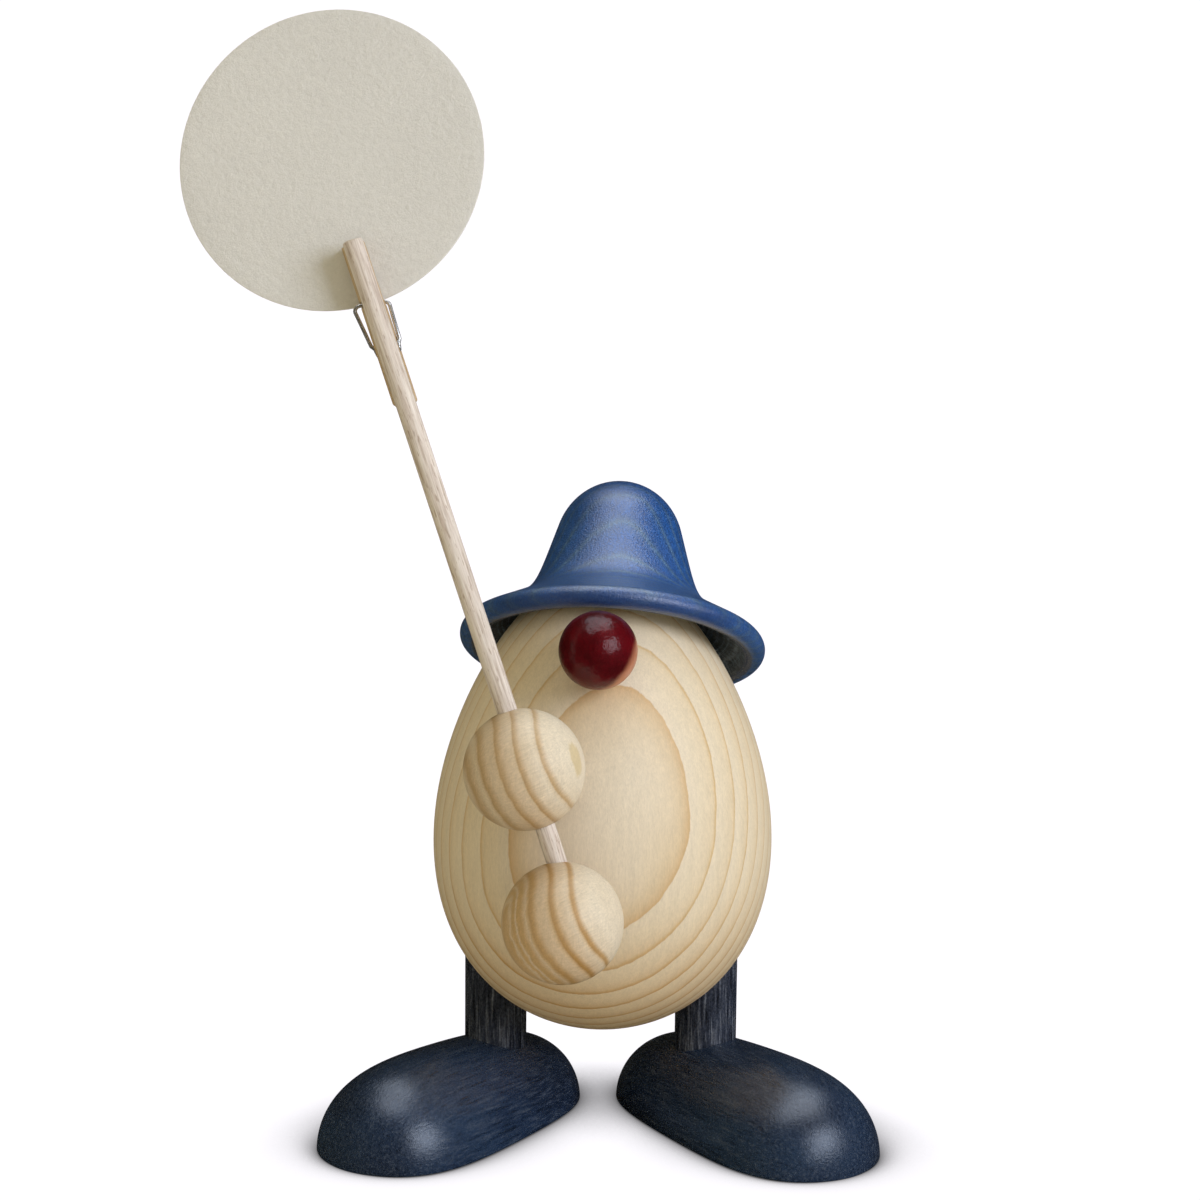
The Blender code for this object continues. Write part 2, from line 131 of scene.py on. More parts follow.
def shade(obj, angle=38.0):
    """Smooth all over, with a crease wherever two faces meet at more than the angle."""
    work = bmesh.new()
    work.from_mesh(obj.data)
    for face in work.faces:
        face.smooth = True
    for edge in work.edges:
        if len(edge.link_faces) == 2 and edge.calc_face_angle() > math.radians(angle):
            edge.smooth = False
    work.to_mesh(obj.data)
    work.free()
    return obj


def turned(name, profile, steps, at):
    """A body turned from a half profile of (radius, height), top to bottom."""
    verts, faces, above = [], [], None
    for r, z in profile:
        if r < 1e-9:
            ring = [len(verts)]
            verts.append((0.0, 0.0, z))
        else:
            ring = list(range(len(verts), len(verts) + steps))
            verts += [
                (r * math.cos(2 * math.pi * k / steps), r * math.sin(2 * math.pi * k / steps), z)
                for k in range(steps)
            ]
        if above is not None:
            for k in range(steps):
                n = (k + 1) % steps
                if len(above) == 1:
                    faces.append((above[0], ring[k], ring[n]))
                elif len(ring) == 1:
                    faces.append((above[k], ring[0], above[n]))
                else:
                    faces.append((above[k], ring[k], ring[n], above[n]))
        above = ring
    mesh = bpy.data.meshes.new(name)
    mesh.from_pydata(verts, [], faces)
    return shade(linked(name, mesh, at))


def bezier(a, b, c, d, count):
    made = []
    for i in range(1, count + 1):
        t = i / count
        u = 1 - t
        made.append(
            tuple(u**3 * a[k] + 3 * u * u * t * b[k] + 3 * u * t * t * c[k] + t**3 * d[k] for k in range(2))
        )
    return made


def round_bar(radius, low, high, edge, edge_steps=4, rows=1):
    """The half profile of a round bar with rounded ends."""
    made = [(0.0, high), (max(radius - edge, 0.0), high)]
    for i in range(1, edge_steps + 1):
        t = math.pi / 2 * (1 - i / edge_steps)
        made.append((radius - edge + edge * math.cos(t), high - edge + edge * math.sin(t)))
    for i in range(1, rows):
        made.append((radius, high - edge - (high - low - 2 * edge) * i / rows))
    for i in range(edge_steps):
        t = -math.pi / 2 * i / edge_steps
        made.append((radius - edge + edge * math.cos(t), low + edge + edge * math.sin(t)))
    return made + [(max(radius - edge, 0.0), low), (0.0, low)]


def carve(obj, *cutters):
    """Cuts the cutters out of a piece and removes them."""
    for i, cutter in enumerate(cutters):
        made = obj.modifiers.new(f"cut_{i}", "BOOLEAN")
        made.operation = "DIFFERENCE"
        made.solver = "EXACT"
        made.object = cutter
    bpy.context.view_layer.update()
    graph = bpy.context.evaluated_depsgraph_get()
    mesh = bpy.data.meshes.new_from_object(obj.evaluated_get(graph))
    obj.modifiers.clear()
    obj.data = mesh
    for cutter in cutters:
        bpy.data.objects.remove(cutter)
    work = bmesh.new()
    work.from_mesh(obj.data)
    bmesh.ops.dissolve_degenerate(work, dist=1e-7, edges=work.edges)
    work.to_mesh(obj.data)
    work.free()
    return shade(obj)


def bore(radius, low, high, at, steps=64):
    return turned("bore", [(0.0, high), (radius, high), (radius, low), (0.0, low)], steps, at)


def egg_profile(rows, grow=0.0):
    made = []
    for i in range(2 * rows + 1):
        t = math.pi / 2 * (1 - i / rows)
        s = math.sin(t)
        near, far = EGG_UP_SHAPE if t > 0 else EGG_DOWN_SHAPE
        swell = 1 + near * s * s + far * abs(s) ** 3
        reach = EGG_UP if t > 0 else EGG_DOWN
        made.append((0.0 if i in (0, 2 * rows) else EGG_RADIUS * math.cos(t) * swell, EGG_WIDEST_Z + reach * s))
    if not grow:
        return made
    grown = []
    for i, (r, z) in enumerate(made):
        if i in (0, len(made) - 1):
            grown.append((0.0, z + (grow if i == 0 else -grow)))
            continue
        along = Vector((made[i + 1][0] - made[i - 1][0], made[i + 1][1] - made[i - 1][1]))
        out = Vector((-along.y, along.x)).normalized()
        grown.append((r + grow * out.x, z + grow * out.y))
    return grown


FINE_EGG = egg_profile(400)


def resting(at, radius, gap):
    reach = math.hypot(at.x, at.y)
    r, z = min(FINE_EGG, key=lambda q: math.hypot(q[0] - reach, q[1] - at.z))
    foot = Vector((at.x / reach * r, at.y / reach * r, z))
    out = (at - foot).normalized()
    return foot + out * (radius + gap), out


def frame_along(direction, at):
    z = direction.normalized()
    side = Vector((1.0, 0.0, 0.0)) if abs(z.x) < 0.9 else Vector((0.0, 1.0, 0.0))
    y = z.cross(side).normalized()
    return columns(y.cross(z), y, z, at)


# ------------------------------------------------------------------ material nodes
class Paint:
    """A Principled material, with short names for the nodes that feed it. Its
    coordinates are the piece's own, in millimetres."""

    def __init__(self, name, frame_at=None):
        self.material = bpy.data.materials.new(name)
        self.material.use_nodes = True
        self.tree = self.material.node_tree
        self.tree.nodes.clear()
        self.shader = self.tree.nodes.new("ShaderNodeBsdfPrincipled")
        out = self.tree.nodes.new("ShaderNodeOutputMaterial")
        self.tree.links.new(self.shader.outputs[0], out.inputs[0])
        coords = self.tree.nodes.new("ShaderNodeTexCoord").outputs["Object"]
        if frame_at is not None:  # for a settled piece: back into the frame it was made in
            into = self.tree.nodes.new("ShaderNodeMapping")
            into.vector_type = "TEXTURE"
            into.inputs["Location"].default_value = frame_at.to_translation()
            into.inputs["Rotation"].default_value = frame_at.to_euler()
            self.tree.links.new(coords, into.inputs["Vector"])
            coords = into.outputs[0]
        self.p = self.vector("SCALE", coords, scale=1000.0)

    def set(self, **values):
        for key, value in values.items():
            self.put(self.shader.inputs[key.replace("_", " ")], value)
        return self

    def put(self, socket, value):
        if hasattr(value, "is_output"):
            self.tree.links.new(value, socket)
        elif isinstance(value, (tuple, list)) and len(value) == 3 and socket.type == "RGBA":
            socket.default_value = (*value, 1.0)
        else:
            socket.default_value = value

    def maths(self, operation, a, b=None, c=None, clamp=False):
        node = self.tree.nodes.new("ShaderNodeMath")
        node.operation = operation
        node.use_clamp = clamp
        for socket, value in zip(node.inputs, (a, b, c)):
            if value is not None:
                self.put(socket, value)
        return node.outputs[0]

    def vector(self, operation, a, b=None, scale=None):
        node = self.tree.nodes.new("ShaderNodeVectorMath")
        node.operation = operation
        self.put(node.inputs[0], a)
        if b is not None:
            self.put(node.inputs[1], b)
        if scale is not None:
            self.put(node.inputs["Scale"], scale)
        return node.outputs["Value" if operation in ("DOT_PRODUCT", "LENGTH", "DISTANCE") else "Vector"]

    def split(self, v):
        node = self.tree.nodes.new("ShaderNodeSeparateXYZ")
        self.put(node.inputs[0], v)
        return node.outputs

    def join(self, x, y, z):
        node = self.tree.nodes.new("ShaderNodeCombineXYZ")
        for socket, value in zip(node.inputs, (x, y, z)):
            self.put(socket, value)
        return node.outputs[0]

    def noise(self, scale, stretch=(1.0, 1.0, 1.0), detail=2.0, rough=0.5, distortion=0.0, at=None, shift=0.0):
        where = self.vector("MULTIPLY", at if at is not None else self.p, stretch)
        if shift:
            where = self.vector("ADD", where, (shift, shift * 0.7, -shift))
        node = self.tree.nodes.new("ShaderNodeTexNoise")
        self.put(node.inputs["Vector"], where)
        node.inputs["Scale"].default_value = scale
        node.inputs["Detail"].default_value = detail
        node.inputs["Roughness"].default_value = rough
        node.inputs["Distortion"].default_value = distortion
        return node.outputs["Fac"]

    def spots(self, scale, stretch=(1.0, 1.0, 1.0), at=None, shift=0.0):
        where = self.vector("MULTIPLY", at if at is not None else self.p, stretch)
        if shift:
            where = self.vector("ADD", where, (shift, -shift, shift * 0.6))
        node = self.tree.nodes.new("ShaderNodeTexVoronoi")
        self.put(node.inputs["Vector"], where)
        node.inputs["Scale"].default_value = scale
        return node.outputs["Distance"]

    def remap(self, value, low, high, to_low=0.0, to_high=1.0, smooth=False):
        node = self.tree.nodes.new("ShaderNodeMapRange")
        node.interpolation_type = "SMOOTHSTEP" if smooth else "LINEAR"
        for key, v in zip(("Value", "From Min", "From Max", "To Min", "To Max"), (value, low, high, to_low, to_high)):
            self.put(node.inputs[key], v)
        return node.outputs[0]

    def ramp(self, value, stops, interpolation="LINEAR"):
        node = self.tree.nodes.new("ShaderNodeValToRGB")
        node.color_ramp.interpolation = interpolation
        self.put(node.inputs[0], value)
        elements = node.color_ramp.elements
        while len(elements) < len(stops):
            elements.new(0.5)
        for element, (at, colour) in zip(elements, stops):
            element.position = at
        for element, (at, colour) in zip(elements, stops):
            element.color = (*colour, 1.0) if hasattr(colour, "__len__") else (colour, colour, colour, 1.0)
        return node.outputs[0]

    def mix(self, amount, a, b, blend="MIX"):
        node = self.tree.nodes.new("ShaderNodeMix")
        node.data_type = "RGBA"
        node.blend_type = blend
        self.put(node.inputs["Factor"], amount)
        sockets = [s for s in node.inputs if s.type == "RGBA"]
        self.put(sockets[0], a)
        self.put(sockets[1], b)
        return [s for s in node.outputs if s.type == "RGBA"][0]

    def tone(self, colour, value, amount):
        """The colour made lighter or darker by amount as value goes from 0 to 1."""
        factor = self.remap(value, 0.0, 1.0, 1.0 - amount, 1.0 + amount)
        return self.vector("SCALE", colour, scale=factor)

    def bump(self, height, strength, distance, normal=None):
        node = self.tree.nodes.new("ShaderNodeBump")
        node.inputs["Strength"].default_value = strength
        node.inputs["Distance"].default_value = distance
        self.put(node.inputs["Height"], height)
        if normal is not None:
            self.put(node.inputs["Normal"], normal)
        return node.outputs[0]


PALE = (0.80, 0.692, 0.54)
CREAM = (0.775, 0.655, 0.475)
TAN = (0.665, 0.495, 0.305)
BROWN = (0.47, 0.285, 0.125)


def pine_finish(paint, colour, late):
    """Fibre, pores and a hand-oiled sheen over a pine colour. late is 1 in latewood."""
    fibre = paint.noise(1.3, (1.0, 1.0, 0.07), 4.0, 0.6)
    pores = paint.noise(5.0, (1.0, 1.0, 0.16), 3.0, 0.65, shift=7.0)
    specks = paint.noise(3.2, (1.0, 1.0, 0.5), 4.0, 0.75, shift=3.0)
    clouds = paint.noise(0.09, (1.0, 1.0, 0.5), 2.0, 0.5, shift=11.0)
    colour = paint.tone(colour, fibre, 0.12)
    colour = paint.tone(colour, pores, 0.14)
    colour = paint.tone(colour, specks, 0.15)
    colour = paint.mix(paint.remap(clouds, 0.35, 0.7, 0.0, 0.20), colour, (0.75, 0.60, 0.40), "MIX")
    height = paint.maths("ADD", paint.maths("MULTIPLY", pores, 0.6), paint.maths("MULTIPLY", specks, 0.5))
    height = paint.maths("ADD", height, paint.maths("MULTIPLY", late, 0.15))
    rough = paint.remap(pores, 0.3, 0.7, 0.40, 0.52)
    paint.set(Base_Color=colour, Roughness=rough, Normal=paint.bump(height, 0.30, 0.00012))
    paint.set(Specular_IOR_Level=0.42)
    return paint.material


def egg_pine():
    """Growth rings about a pith that runs up behind the egg, a little askew, so
    that they show as nested ovals on its front."""
    paint = Paint("pine_egg")
    x, y, z = paint.split(paint.p)
    lift = paint.maths("SUBTRACT", z, 45.0)
    across = paint.maths("ADD", paint.maths("SUBTRACT", x, 7.169), paint.maths("MULTIPLY", lift, 0.598))
    depth = paint.maths("SUBTRACT", paint.maths("SUBTRACT", y, 115.776), paint.maths("MULTIPLY", lift, 0.188))
    reach = paint.vector("LENGTH", paint.join(across, depth, 0.0))
    slow = paint.noise(0.085, (1.0, 1.0, 0.6), 1.0, 0.5, shift=5.0)
    quick = paint.noise(0.65, (1.0, 1.0, 0.45), 3.0, 0.6)
    reach = paint.maths("ADD", reach, paint.remap(slow, 0.0, 1.0, -0.35, 0.35))
    reach = paint.maths("ADD", reach, paint.remap(quick, 0.0, 1.0, -0.16, 0.16))
    ring = paint.maths("DIVIDE", paint.maths("SUBTRACT", 140.73, reach), 2.78)
    front = paint.maths("LESS_THAN", ring, 0.0)
    inside = paint.maths("ADD", paint.maths("MULTIPLY", ring, 0.72), 1.0)
    phase = paint.maths("FRACT", ring)
    strength = paint.noise(1.0, at=paint.join(paint.maths("FLOOR", ring), 0.0, 0.0), shift=2.3)
    core = paint.ramp(inside, [(0.0, (0.80, 0.70, 0.56)), (0.42, (0.785, 0.675, 0.52)), (0.66, (0.755, 0.62, 0.44)), (0.82, (0.715, 0.555, 0.355)), (0.93, (0.675, 0.48, 0.27)), (0.980, (0.63, 0.415, 0.205)), (1.0, PALE)])
    rings = paint.ramp(
        phase,
        [
            (0.0, PALE),
            (0.35, (0.795, 0.675, 0.50)),
            (0.65, (0.785, 0.65, 0.465)),
            (0.82, (0.77, 0.625, 0.43)),
            (0.895, (0.735, 0.565, 0.345)),
            (0.94, (0.655, 0.445, 0.215)),
            (0.965, (0.645, 0.435, 0.205)),
            (1.0, PALE),
        ],
    )
    late = paint.ramp(phase, [(0.0, 0.0), (0.8, 0.1), (0.95, 1.0), (0.985, 1.0), (1.0, 0.0)])
    rings = paint.mix(paint.remap(strength, 0.3, 0.7, 0.35, 0.0), rings, CREAM)
    colour = paint.mix(front, rings, core)
    # low on the egg the rings run out at a slant, so they are broader and redder
    broad = paint.ramp(phase, [(0.0, 0.0), (0.50, 0.05), (0.82, 0.35), (0.94, 0.9), (0.985, 1.0), (1.0, 0.0)])
    broad = paint.maths("MULTIPLY", broad, paint.maths("SUBTRACT", 1.0, front))
    colour = paint.mix(paint.maths("MULTIPLY", broad, paint.remap(z, 44.0, 27.0, 0.0, 0.85, True)), colour, (0.56, 0.33, 0.125))
    # painted shade: the whole egg is made darker and warmer towards its bottom
    colour = paint.mix(paint.remap(z, 46.0, 18.0, 0.0, 1.0, True), colour, (0.935, 0.85, 0.73), "MULTIPLY")
    return pine_finish(paint, colour, late)


def hand_pine(name, along, bend_along, bend, lines, width, tan_and_shade_share, tone_band, tone_dark, smudge=None):
    """Bent layers across a ball. Each line is where a layer's dark latewood
    ends sharply, and its colour fades away on the side where the value grows."""
    paint = Paint(name)
    value = paint.vector("DOT_PRODUCT", paint.p, along)
    side = paint.vector("DOT_PRODUCT", paint.p, bend_along)
    value = paint.maths("ADD", value, paint.maths("MULTIPLY", paint.maths("MULTIPLY", side, side), bend))
    slow = paint.noise(0.16, detail=1.0, shift=4.0)
    quick = paint.noise(0.9, (1.0, 1.0, 0.5), 3.0, 0.6)
    value = paint.maths("ADD", value, paint.remap(slow, 0.0, 1.0, -0.30, 0.30))
    value = paint.maths("ADD", value, paint.remap(quick, 0.0, 1.0, -0.20, 0.20))
    place = paint.remap(value, -12.0, 12.0)
    pale, tan, band, dark_wood = (0.775, 0.68, 0.54), (0.65, 0.50, 0.345), tone_band, tone_dark

    def spot(v):
        return (v + 12.0) / 24.0

    def between(a, b, t):
        return tuple(a[k] + (b[k] - a[k]) * t for k in range(3))

    def ground(v):
        """The wood between two lines, tanner where the layers crowd and, as painted shade, tanner left of the ball's
        middle.
        """
        share = tan_and_shade_share[0][1]
        for (v0, s0), (v1, s1) in zip(tan_and_shade_share, tan_and_shade_share[1:]):
            if v >= v0:
                share = s0 + (s1 - s0) * min(1.0, (v - v0) / (v1 - v0))
        return between(pale, tan, share)

    stops, lates = [(0.0, ground(-12.0))], [(0.0, 0.0)]
    for i, (at, dark) in enumerate(lines):
        room = (lines[i + 1][0] - at) if i + 1 < len(lines) else 4.0
        before = (at - lines[i - 1][0]) if i else 3.0
        stops.append((spot(at - min(0.8, before * 0.30)), between(ground(at - 0.8), band, 0.12)))
        stops.append((spot(at - min(width, before * 0.24)), between(ground(at), band, 0.50)))
        stops.append((spot(at + 0.01), between(band, dark_wood, dark)))
        stops.append((spot(at + min(width, room * 0.28)), between(band, dark_wood, 0.70 * dark)))
        stops.append((spot(at + min(1.1, room * 0.60)), between(ground(at + 1.1), band, 0.22)))
        lates += [(spot(at - 0.03), 0.0), (spot(at + 0.02), 1.0), (spot(at + 0.4), 0.1)]
    if len(stops) < 32:
        stops.append((spot(lines[-1][0] + 3.6), ground(lines[-1][0] + 3.6)))
    lates.append((1.0, 0.0))
    colour = paint.ramp(place, stops[:32])
    third = tuple(Vector(along).cross(Vector(bend_along)))
    rays = paint.join(
        paint.maths("MULTIPLY", value, 0.10),
        side,
        paint.vector("DOT_PRODUCT", paint.p, third),
    )
    scratch = paint.noise(3.4, at=rays, detail=4.0, rough=0.7, shift=6.0)
    colour = paint.tone(colour, scratch, 0.30)
    if smudge:
        away = paint.vector("LENGTH", paint.vector("MULTIPLY", paint.vector("SUBTRACT", paint.p, smudge), (1.0, 1.0, 0.5)))
        away = paint.maths("ADD", away, paint.remap(paint.noise(0.9, detail=3.0, shift=3.0), 0.0, 1.0, -0.5, 0.5))
        colour = paint.mix(paint.remap(away, 1.6, 1.2, 0.0, 0.75), colour, (0.64, 0.50, 0.26))
    late = paint.ramp(place, lates[:32])
    return pine_finish(paint, colour, late)


def hat_blue(at):
    """Blue stain on turned wood: pale narrow arches where the rings run out, a
    pitted skin, and a rim and lip worn paler. The rim also has a painted grey
    sheen, and painted shade darkens the front of the rim's underside, the lip
    and the hollow."""
    paint = Paint("stain_blue", at)
    x, y, z = paint.split(paint.p)
    reach = paint.vector("LENGTH", paint.join(x, paint.maths("SUBTRACT", y, 37.0), 0.0))
    slow = paint.noise(0.12, (1.0, 1.0, 0.4), 1.0, 0.5, shift=9.0)
    quick = paint.noise(0.8, (1.0, 1.0, 0.3), 3.0, 0.6)
    reach = paint.maths("ADD", reach, paint.remap(slow, 0.0, 1.0, -0.5, 0.5))
    reach = paint.maths("ADD", reach, paint.remap(quick, 0.0, 1.0, -0.12, 0.12))
    phase = paint.maths("FRACT", paint.maths("DIVIDE", paint.maths("SUBTRACT", reach, 47.85), 1.9))
    line = paint.ramp(phase, [(0.0, 1.0), (0.12, 0.30), (0.4, 0.0), (0.78, 0.08), (0.90, 0.45), (1.0, 1.0)])
    clouds = paint.noise(0.10, (1.0, 1.0, 0.6), 3.0, 0.6, shift=1.0)
    pits = paint.noise(4.0, (1.0, 1.0, 0.8), 2.0, 0.6)
    fibre = paint.noise(2.6, (1.0, 1.0, 0.14), 4.0, 0.65, shift=6.0)
    colour = paint.ramp(clouds, [(0.3, (0.0060, 0.058, 0.225)), (0.55, (0.0125, 0.082, 0.295)), (0.75, (0.026, 0.092, 0.310))])
    colour = paint.tone(colour, paint.ramp(phase, [(0.0, 0.2), (0.3, 1.0), (0.7, 0.75), (1.0, 0.0)]), 0.16)
    colour = paint.mix(paint.maths("MULTIPLY", line, paint.remap(clouds, 0.35, 0.65, 0.22, 0.62)), colour, (0.125, 0.23, 0.32))
    colour = paint.tone(colour, pits, 1.0)
    colour = paint.tone(colour, fibre, 0.6)
    radius = paint.vector("LENGTH", paint.join(x, y, 0.0))
    rim = paint.maths("MULTIPLY", paint.remap(radius, 21.6, 23.4, 0.0, 1.0, True), paint.remap(z, 1.9, 1.2, 0.4, 1.0, True))
    rubbed_and_sheen = paint.remap(paint.noise(3.0, (1.0, 1.0, 1.0), 3.0, 0.65, shift=13.0), 0.50, 0.64, 0.0, 1.0)
    # the rim greyed a little, then paler in spots: partly wear, partly a painted sheen
    colour = paint.mix(paint.maths("MULTIPLY", rim, 0.10), colour, (0.06, 0.085, 0.13))
    colour = paint.mix(paint.maths("MULTIPLY", paint.maths("MULTIPLY", rim, rubbed_and_sheen), 0.40), colour, (0.15, 0.21, 0.28))
    # painted shade: the front of the rim's underside darkened to deep blue
    rim_underside_shade = paint.maths("MULTIPLY", paint.remap(z, 1.0, -0.5, 0.0, 0.65, True), paint.remap(y, -13.0, -19.0, 0.0, 1.0, True))
    colour = paint.mix(paint.maths("MULTIPLY", rim, rim_underside_shade), colour, (0.001, 0.034, 0.17))
    lip = paint.maths("MULTIPLY", paint.remap(radius, 20.9, 21.2, 0.0, 1.0, True), paint.remap(radius, 22.8, 22.4, 0.0, 1.0, True))
    lip = paint.maths("MULTIPLY", lip, paint.remap(z, -0.7, -1.1, 0.0, 1.0, True))
    # painted shade: the lip under the brim darkened to near black
    colour = paint.mix(paint.maths("MULTIPLY", lip, 0.85), colour, (0.010, 0.022, 0.050))
    chips = paint.remap(paint.noise(2.4, (1.0, 1.0, 1.0), 4.0, 0.8, shift=17.0), 0.60, 0.66, 0.0, 1.0)
    colour = paint.mix(paint.maths("MULTIPLY", paint.maths("MULTIPLY", lip, chips), 0.8), colour, (0.50, 0.50, 0.48))
    # painted shade: the hollow inside the hat is near black, with paler worn fibres and a turned arc
    under = paint.maths("MULTIPLY", paint.remap(radius, 21.6, 21.2, 0.0, 1.0, True), paint.maths("LESS_THAN", z, paint.remap(radius, 12.0, 21.5, 7.6, 0.9)))
    coarse = paint.noise(1.6, (1.0, 1.0, 0.5), 5.0, 0.75, shift=21.0)
    grooves = paint.noise(2.6, at=paint.join(radius, 0.0, 0.0), detail=3.0, rough=0.8, shift=2.0)
    worn = paint.maths("ADD", paint.maths("MULTIPLY", coarse, 0.55), paint.maths("MULTIPLY", grooves, 0.45))
    dark = paint.ramp(worn, [(0.40, (0.004, 0.009, 0.019)), (0.48, (0.014, 0.031, 0.058)), (0.53, (0.060, 0.098, 0.150)), (0.58, (0.19, 0.25, 0.32))])
    arc_line = paint.maths("MULTIPLY", paint.remap(radius, 19.3, 19.8, 0.0, 1.0, True), paint.remap(radius, 20.9, 20.3, 0.0, 1.0, True))
    arc_line = paint.maths("MULTIPLY", arc_line, paint.remap(coarse, 0.42, 0.56, 0.0, 0.75))
    dark = paint.mix(arc_line, dark, (0.20, 0.26, 0.34))
    colour = paint.mix(under, colour, dark)
    height = paint.maths("ADD", paint.maths("MULTIPLY", pits, 1.0), paint.maths("MULTIPLY", fibre, 0.6))
    height = paint.maths("ADD", height, paint.maths("MULTIPLY", paint.maths("MULTIPLY", worn, under), 3.0))
    rough = paint.remap(pits, 0.35, 0.65, 0.30, 0.42)
    normal = paint.bump(height, 0.5, 0.00016)
    paint.set(Base_Color=colour, Roughness=rough, Normal=normal, Specular_Tint=(0.97, 0.96, 1.0))
    paint.set(Specular_IOR_Level=1.0, Coat_Weight=0.35, Coat_Roughness=0.27, Coat_IOR=1.5, Coat_Normal=normal)
    return paint.material


def navy(name, deep, dust, stretch, streak, crack, grain, pit, shine, gloss, pale_grain, at=None):
    """Blue-black stain with the grain showing through as paler streaks. The
    grain runs along the piece's own Z."""
    paint = Paint(name, at)
    fibre = paint.noise(2.6, stretch, 4.0, 0.65)
    fine = paint.noise(3.4, (1.0, 1.0, 0.22), 3.0, 0.7, shift=3.0)
    pits = paint.noise(3.8, (1.0, 1.0, 0.6), 2.0, 0.6, shift=8.0)
    clouds = paint.noise(0.07, (1.0, 1.0, 0.5), 2.0, 0.5, shift=1.5)
    colour = paint.ramp(clouds, [(0.34, (0.0050, 0.0110, 0.031)), (0.50, (0.0095, 0.0250, 0.066)), (0.66, (0.015, 0.041, 0.098))])
    colour = paint.vector("SCALE", colour, scale=deep)
    colour = paint.mix(dust[0], colour, dust[1])
    pale = paint.remap(fibre, 0.52, 0.68, 0.0, 1.0)
    colour = paint.mix(paint.maths("MULTIPLY", pale, streak), colour, pale_grain)
    cracks = paint.remap(fibre, 0.46, 0.36, 0.0, crack)
    colour = paint.mix(cracks, colour, (0.001, 0.001, 0.002))
    colour = paint.tone(colour, pits, 0.7 * pit)
    colour = paint.tone(colour, fine, 0.25 + 0.45 * pit)
    height = paint.maths("ADD", paint.maths("MULTIPLY", fibre, grain), paint.maths("ADD", paint.maths("MULTIPLY", pits, pit), paint.maths("MULTIPLY", fine, 0.7 * pit)))
    rough = paint.remap(pits, 0.35, 0.65, 0.22, 0.32)
    normal = paint.bump(height, 0.5, 0.00014)
    paint.set(Base_Color=colour, Roughness=rough, Normal=normal, Specular_Tint=(0.90, 0.93, 1.0))
    paint.set(Specular_IOR_Level=shine, Coat_Weight=gloss, Coat_Roughness=0.25, Coat_IOR=1.5, Coat_Normal=normal)
    return paint.material


def maroon():
    """Dark red lacquer over turned wood, with a faint drag of the brush and painted reflections of the wood round it.
    """
    paint = Paint("lacquer_maroon")
    clouds = paint.noise(0.25, detail=3.0, rough=0.6)
    fine = paint.noise(3.2, detail=2.0, rough=0.6, shift=9.0)
    colour = paint.ramp(clouds, [(0.3, (0.058, 0.0010, 0.0030)), (0.55, (0.094, 0.0014, 0.0048)), (0.75, (0.130, 0.0022, 0.0065))])
    colour = paint.tone(colour, fine, 0.35)
    skin = paint.noise(1.2, (1.0, 1.0, 0.6), 3.0, 0.6, shift=2.0)
    drag = paint.noise(2.2, (0.35, 0.35, 1.0), 2.0, 0.6, shift=5.0)
    height = paint.maths("ADD", skin, paint.maths("MULTIPLY", drag, 0.30))
    # painted reflection of the egg's wood, low on the right
    side = paint.vector("DOT_PRODUCT", paint.p, (0.125, 0.058, -0.093))
    side = paint.maths("ADD", side, paint.remap(clouds, 0.0, 1.0, -0.08, 0.08))
    egg_reflection = paint.remap(side, 0.36, 0.66, 0.0, 0.95, True)
    x, y, z = paint.split(paint.p)
    egg_reflection = paint.maths("MULTIPLY", egg_reflection, paint.remap(y, 0.8, 2.8, 1.0, 0.12, True))
    # painted reflection: a warm brown along the bottom
    low = paint.remap(paint.vector("DOT_PRODUCT", paint.p, (0.03, 0.06, -0.15)), 0.50, 0.98, 0.0, 0.55, True)
    colour = paint.mix(low, colour, (0.36, 0.105, 0.045))
    colour = paint.mix(egg_reflection, colour, (0.50, 0.20, 0.11))
    rough = paint.remap(skin, 0.3, 0.7, 0.36, 0.46)
    normal = paint.bump(height, 0.5, 0.00022)
    paint.set(Base_Color=colour, Roughness=rough, Normal=normal)
    paint.set(Specular_IOR_Level=0.05, Coat_Weight=0.55, Coat_Roughness=0.17, Coat_IOR=1.5, Coat_Normal=paint.bump(height, 0.60, 0.00018))
    return paint.material


def plain_wood(name, low, mid, high, fleck, roughness, scale=1.0):
    """A close, straight-grained wood along the piece's own Z, with short flecks."""
    paint = Paint(name)
    fibre = paint.noise(2.2 * scale, (1.0, 1.0, 0.045), 5.0, 0.65)
    fine = paint.noise(7.0 * scale, (1.0, 1.0, 0.06), 3.0, 0.7, shift=3.0)
    broad = paint.noise(0.5 * scale, (1.0, 1.0, 0.08), 2.0, 0.5, shift=8.0)
    colour = paint.ramp(fibre, [(0.32, low), (0.5, mid), (0.68, high)])
    colour = paint.tone(colour, fine, 0.16)
    colour = paint.tone(colour, broad, 0.10)
    flecks = paint.remap(paint.noise(2.8 * scale, (1.0, 1.0, 0.16), 2.0, 0.5, shift=14.0), 0.60, 0.68, 0.0, 1.0)
    colour = paint.mix(paint.maths("MULTIPLY", flecks, 0.55), colour, fleck)
    height = paint.maths("ADD", fibre, paint.maths("MULTIPLY", fine, 0.6))
    paint.set(Base_Color=colour, Roughness=paint.remap(fine, 0.3, 0.7, roughness - 0.06, roughness + 0.06), Normal=paint.bump(height, 0.4, 0.00010))
    paint.set(Specular_IOR_Level=0.35)
    return paint.material


def wire_steel():
    paint = Paint("drawn_wire")
    drawn = paint.noise(6.0, (1.0, 1.0, 1.0), 3.0, 0.7)
    clouds = paint.noise(0.9, detail=2.0, shift=4.0)
    colour = paint.ramp(clouds, [(0.35, (0.66, 0.65, 0.64)), (0.65, (0.84, 0.83, 0.82))])
    paint.set(Base_Color=colour, Roughness=paint.remap(drawn, 0.3, 0.7, 0.18, 0.32), Normal=paint.bump(drawn, 0.15, 0.00004))
    paint.set(Metallic=0.75)
    return paint.material


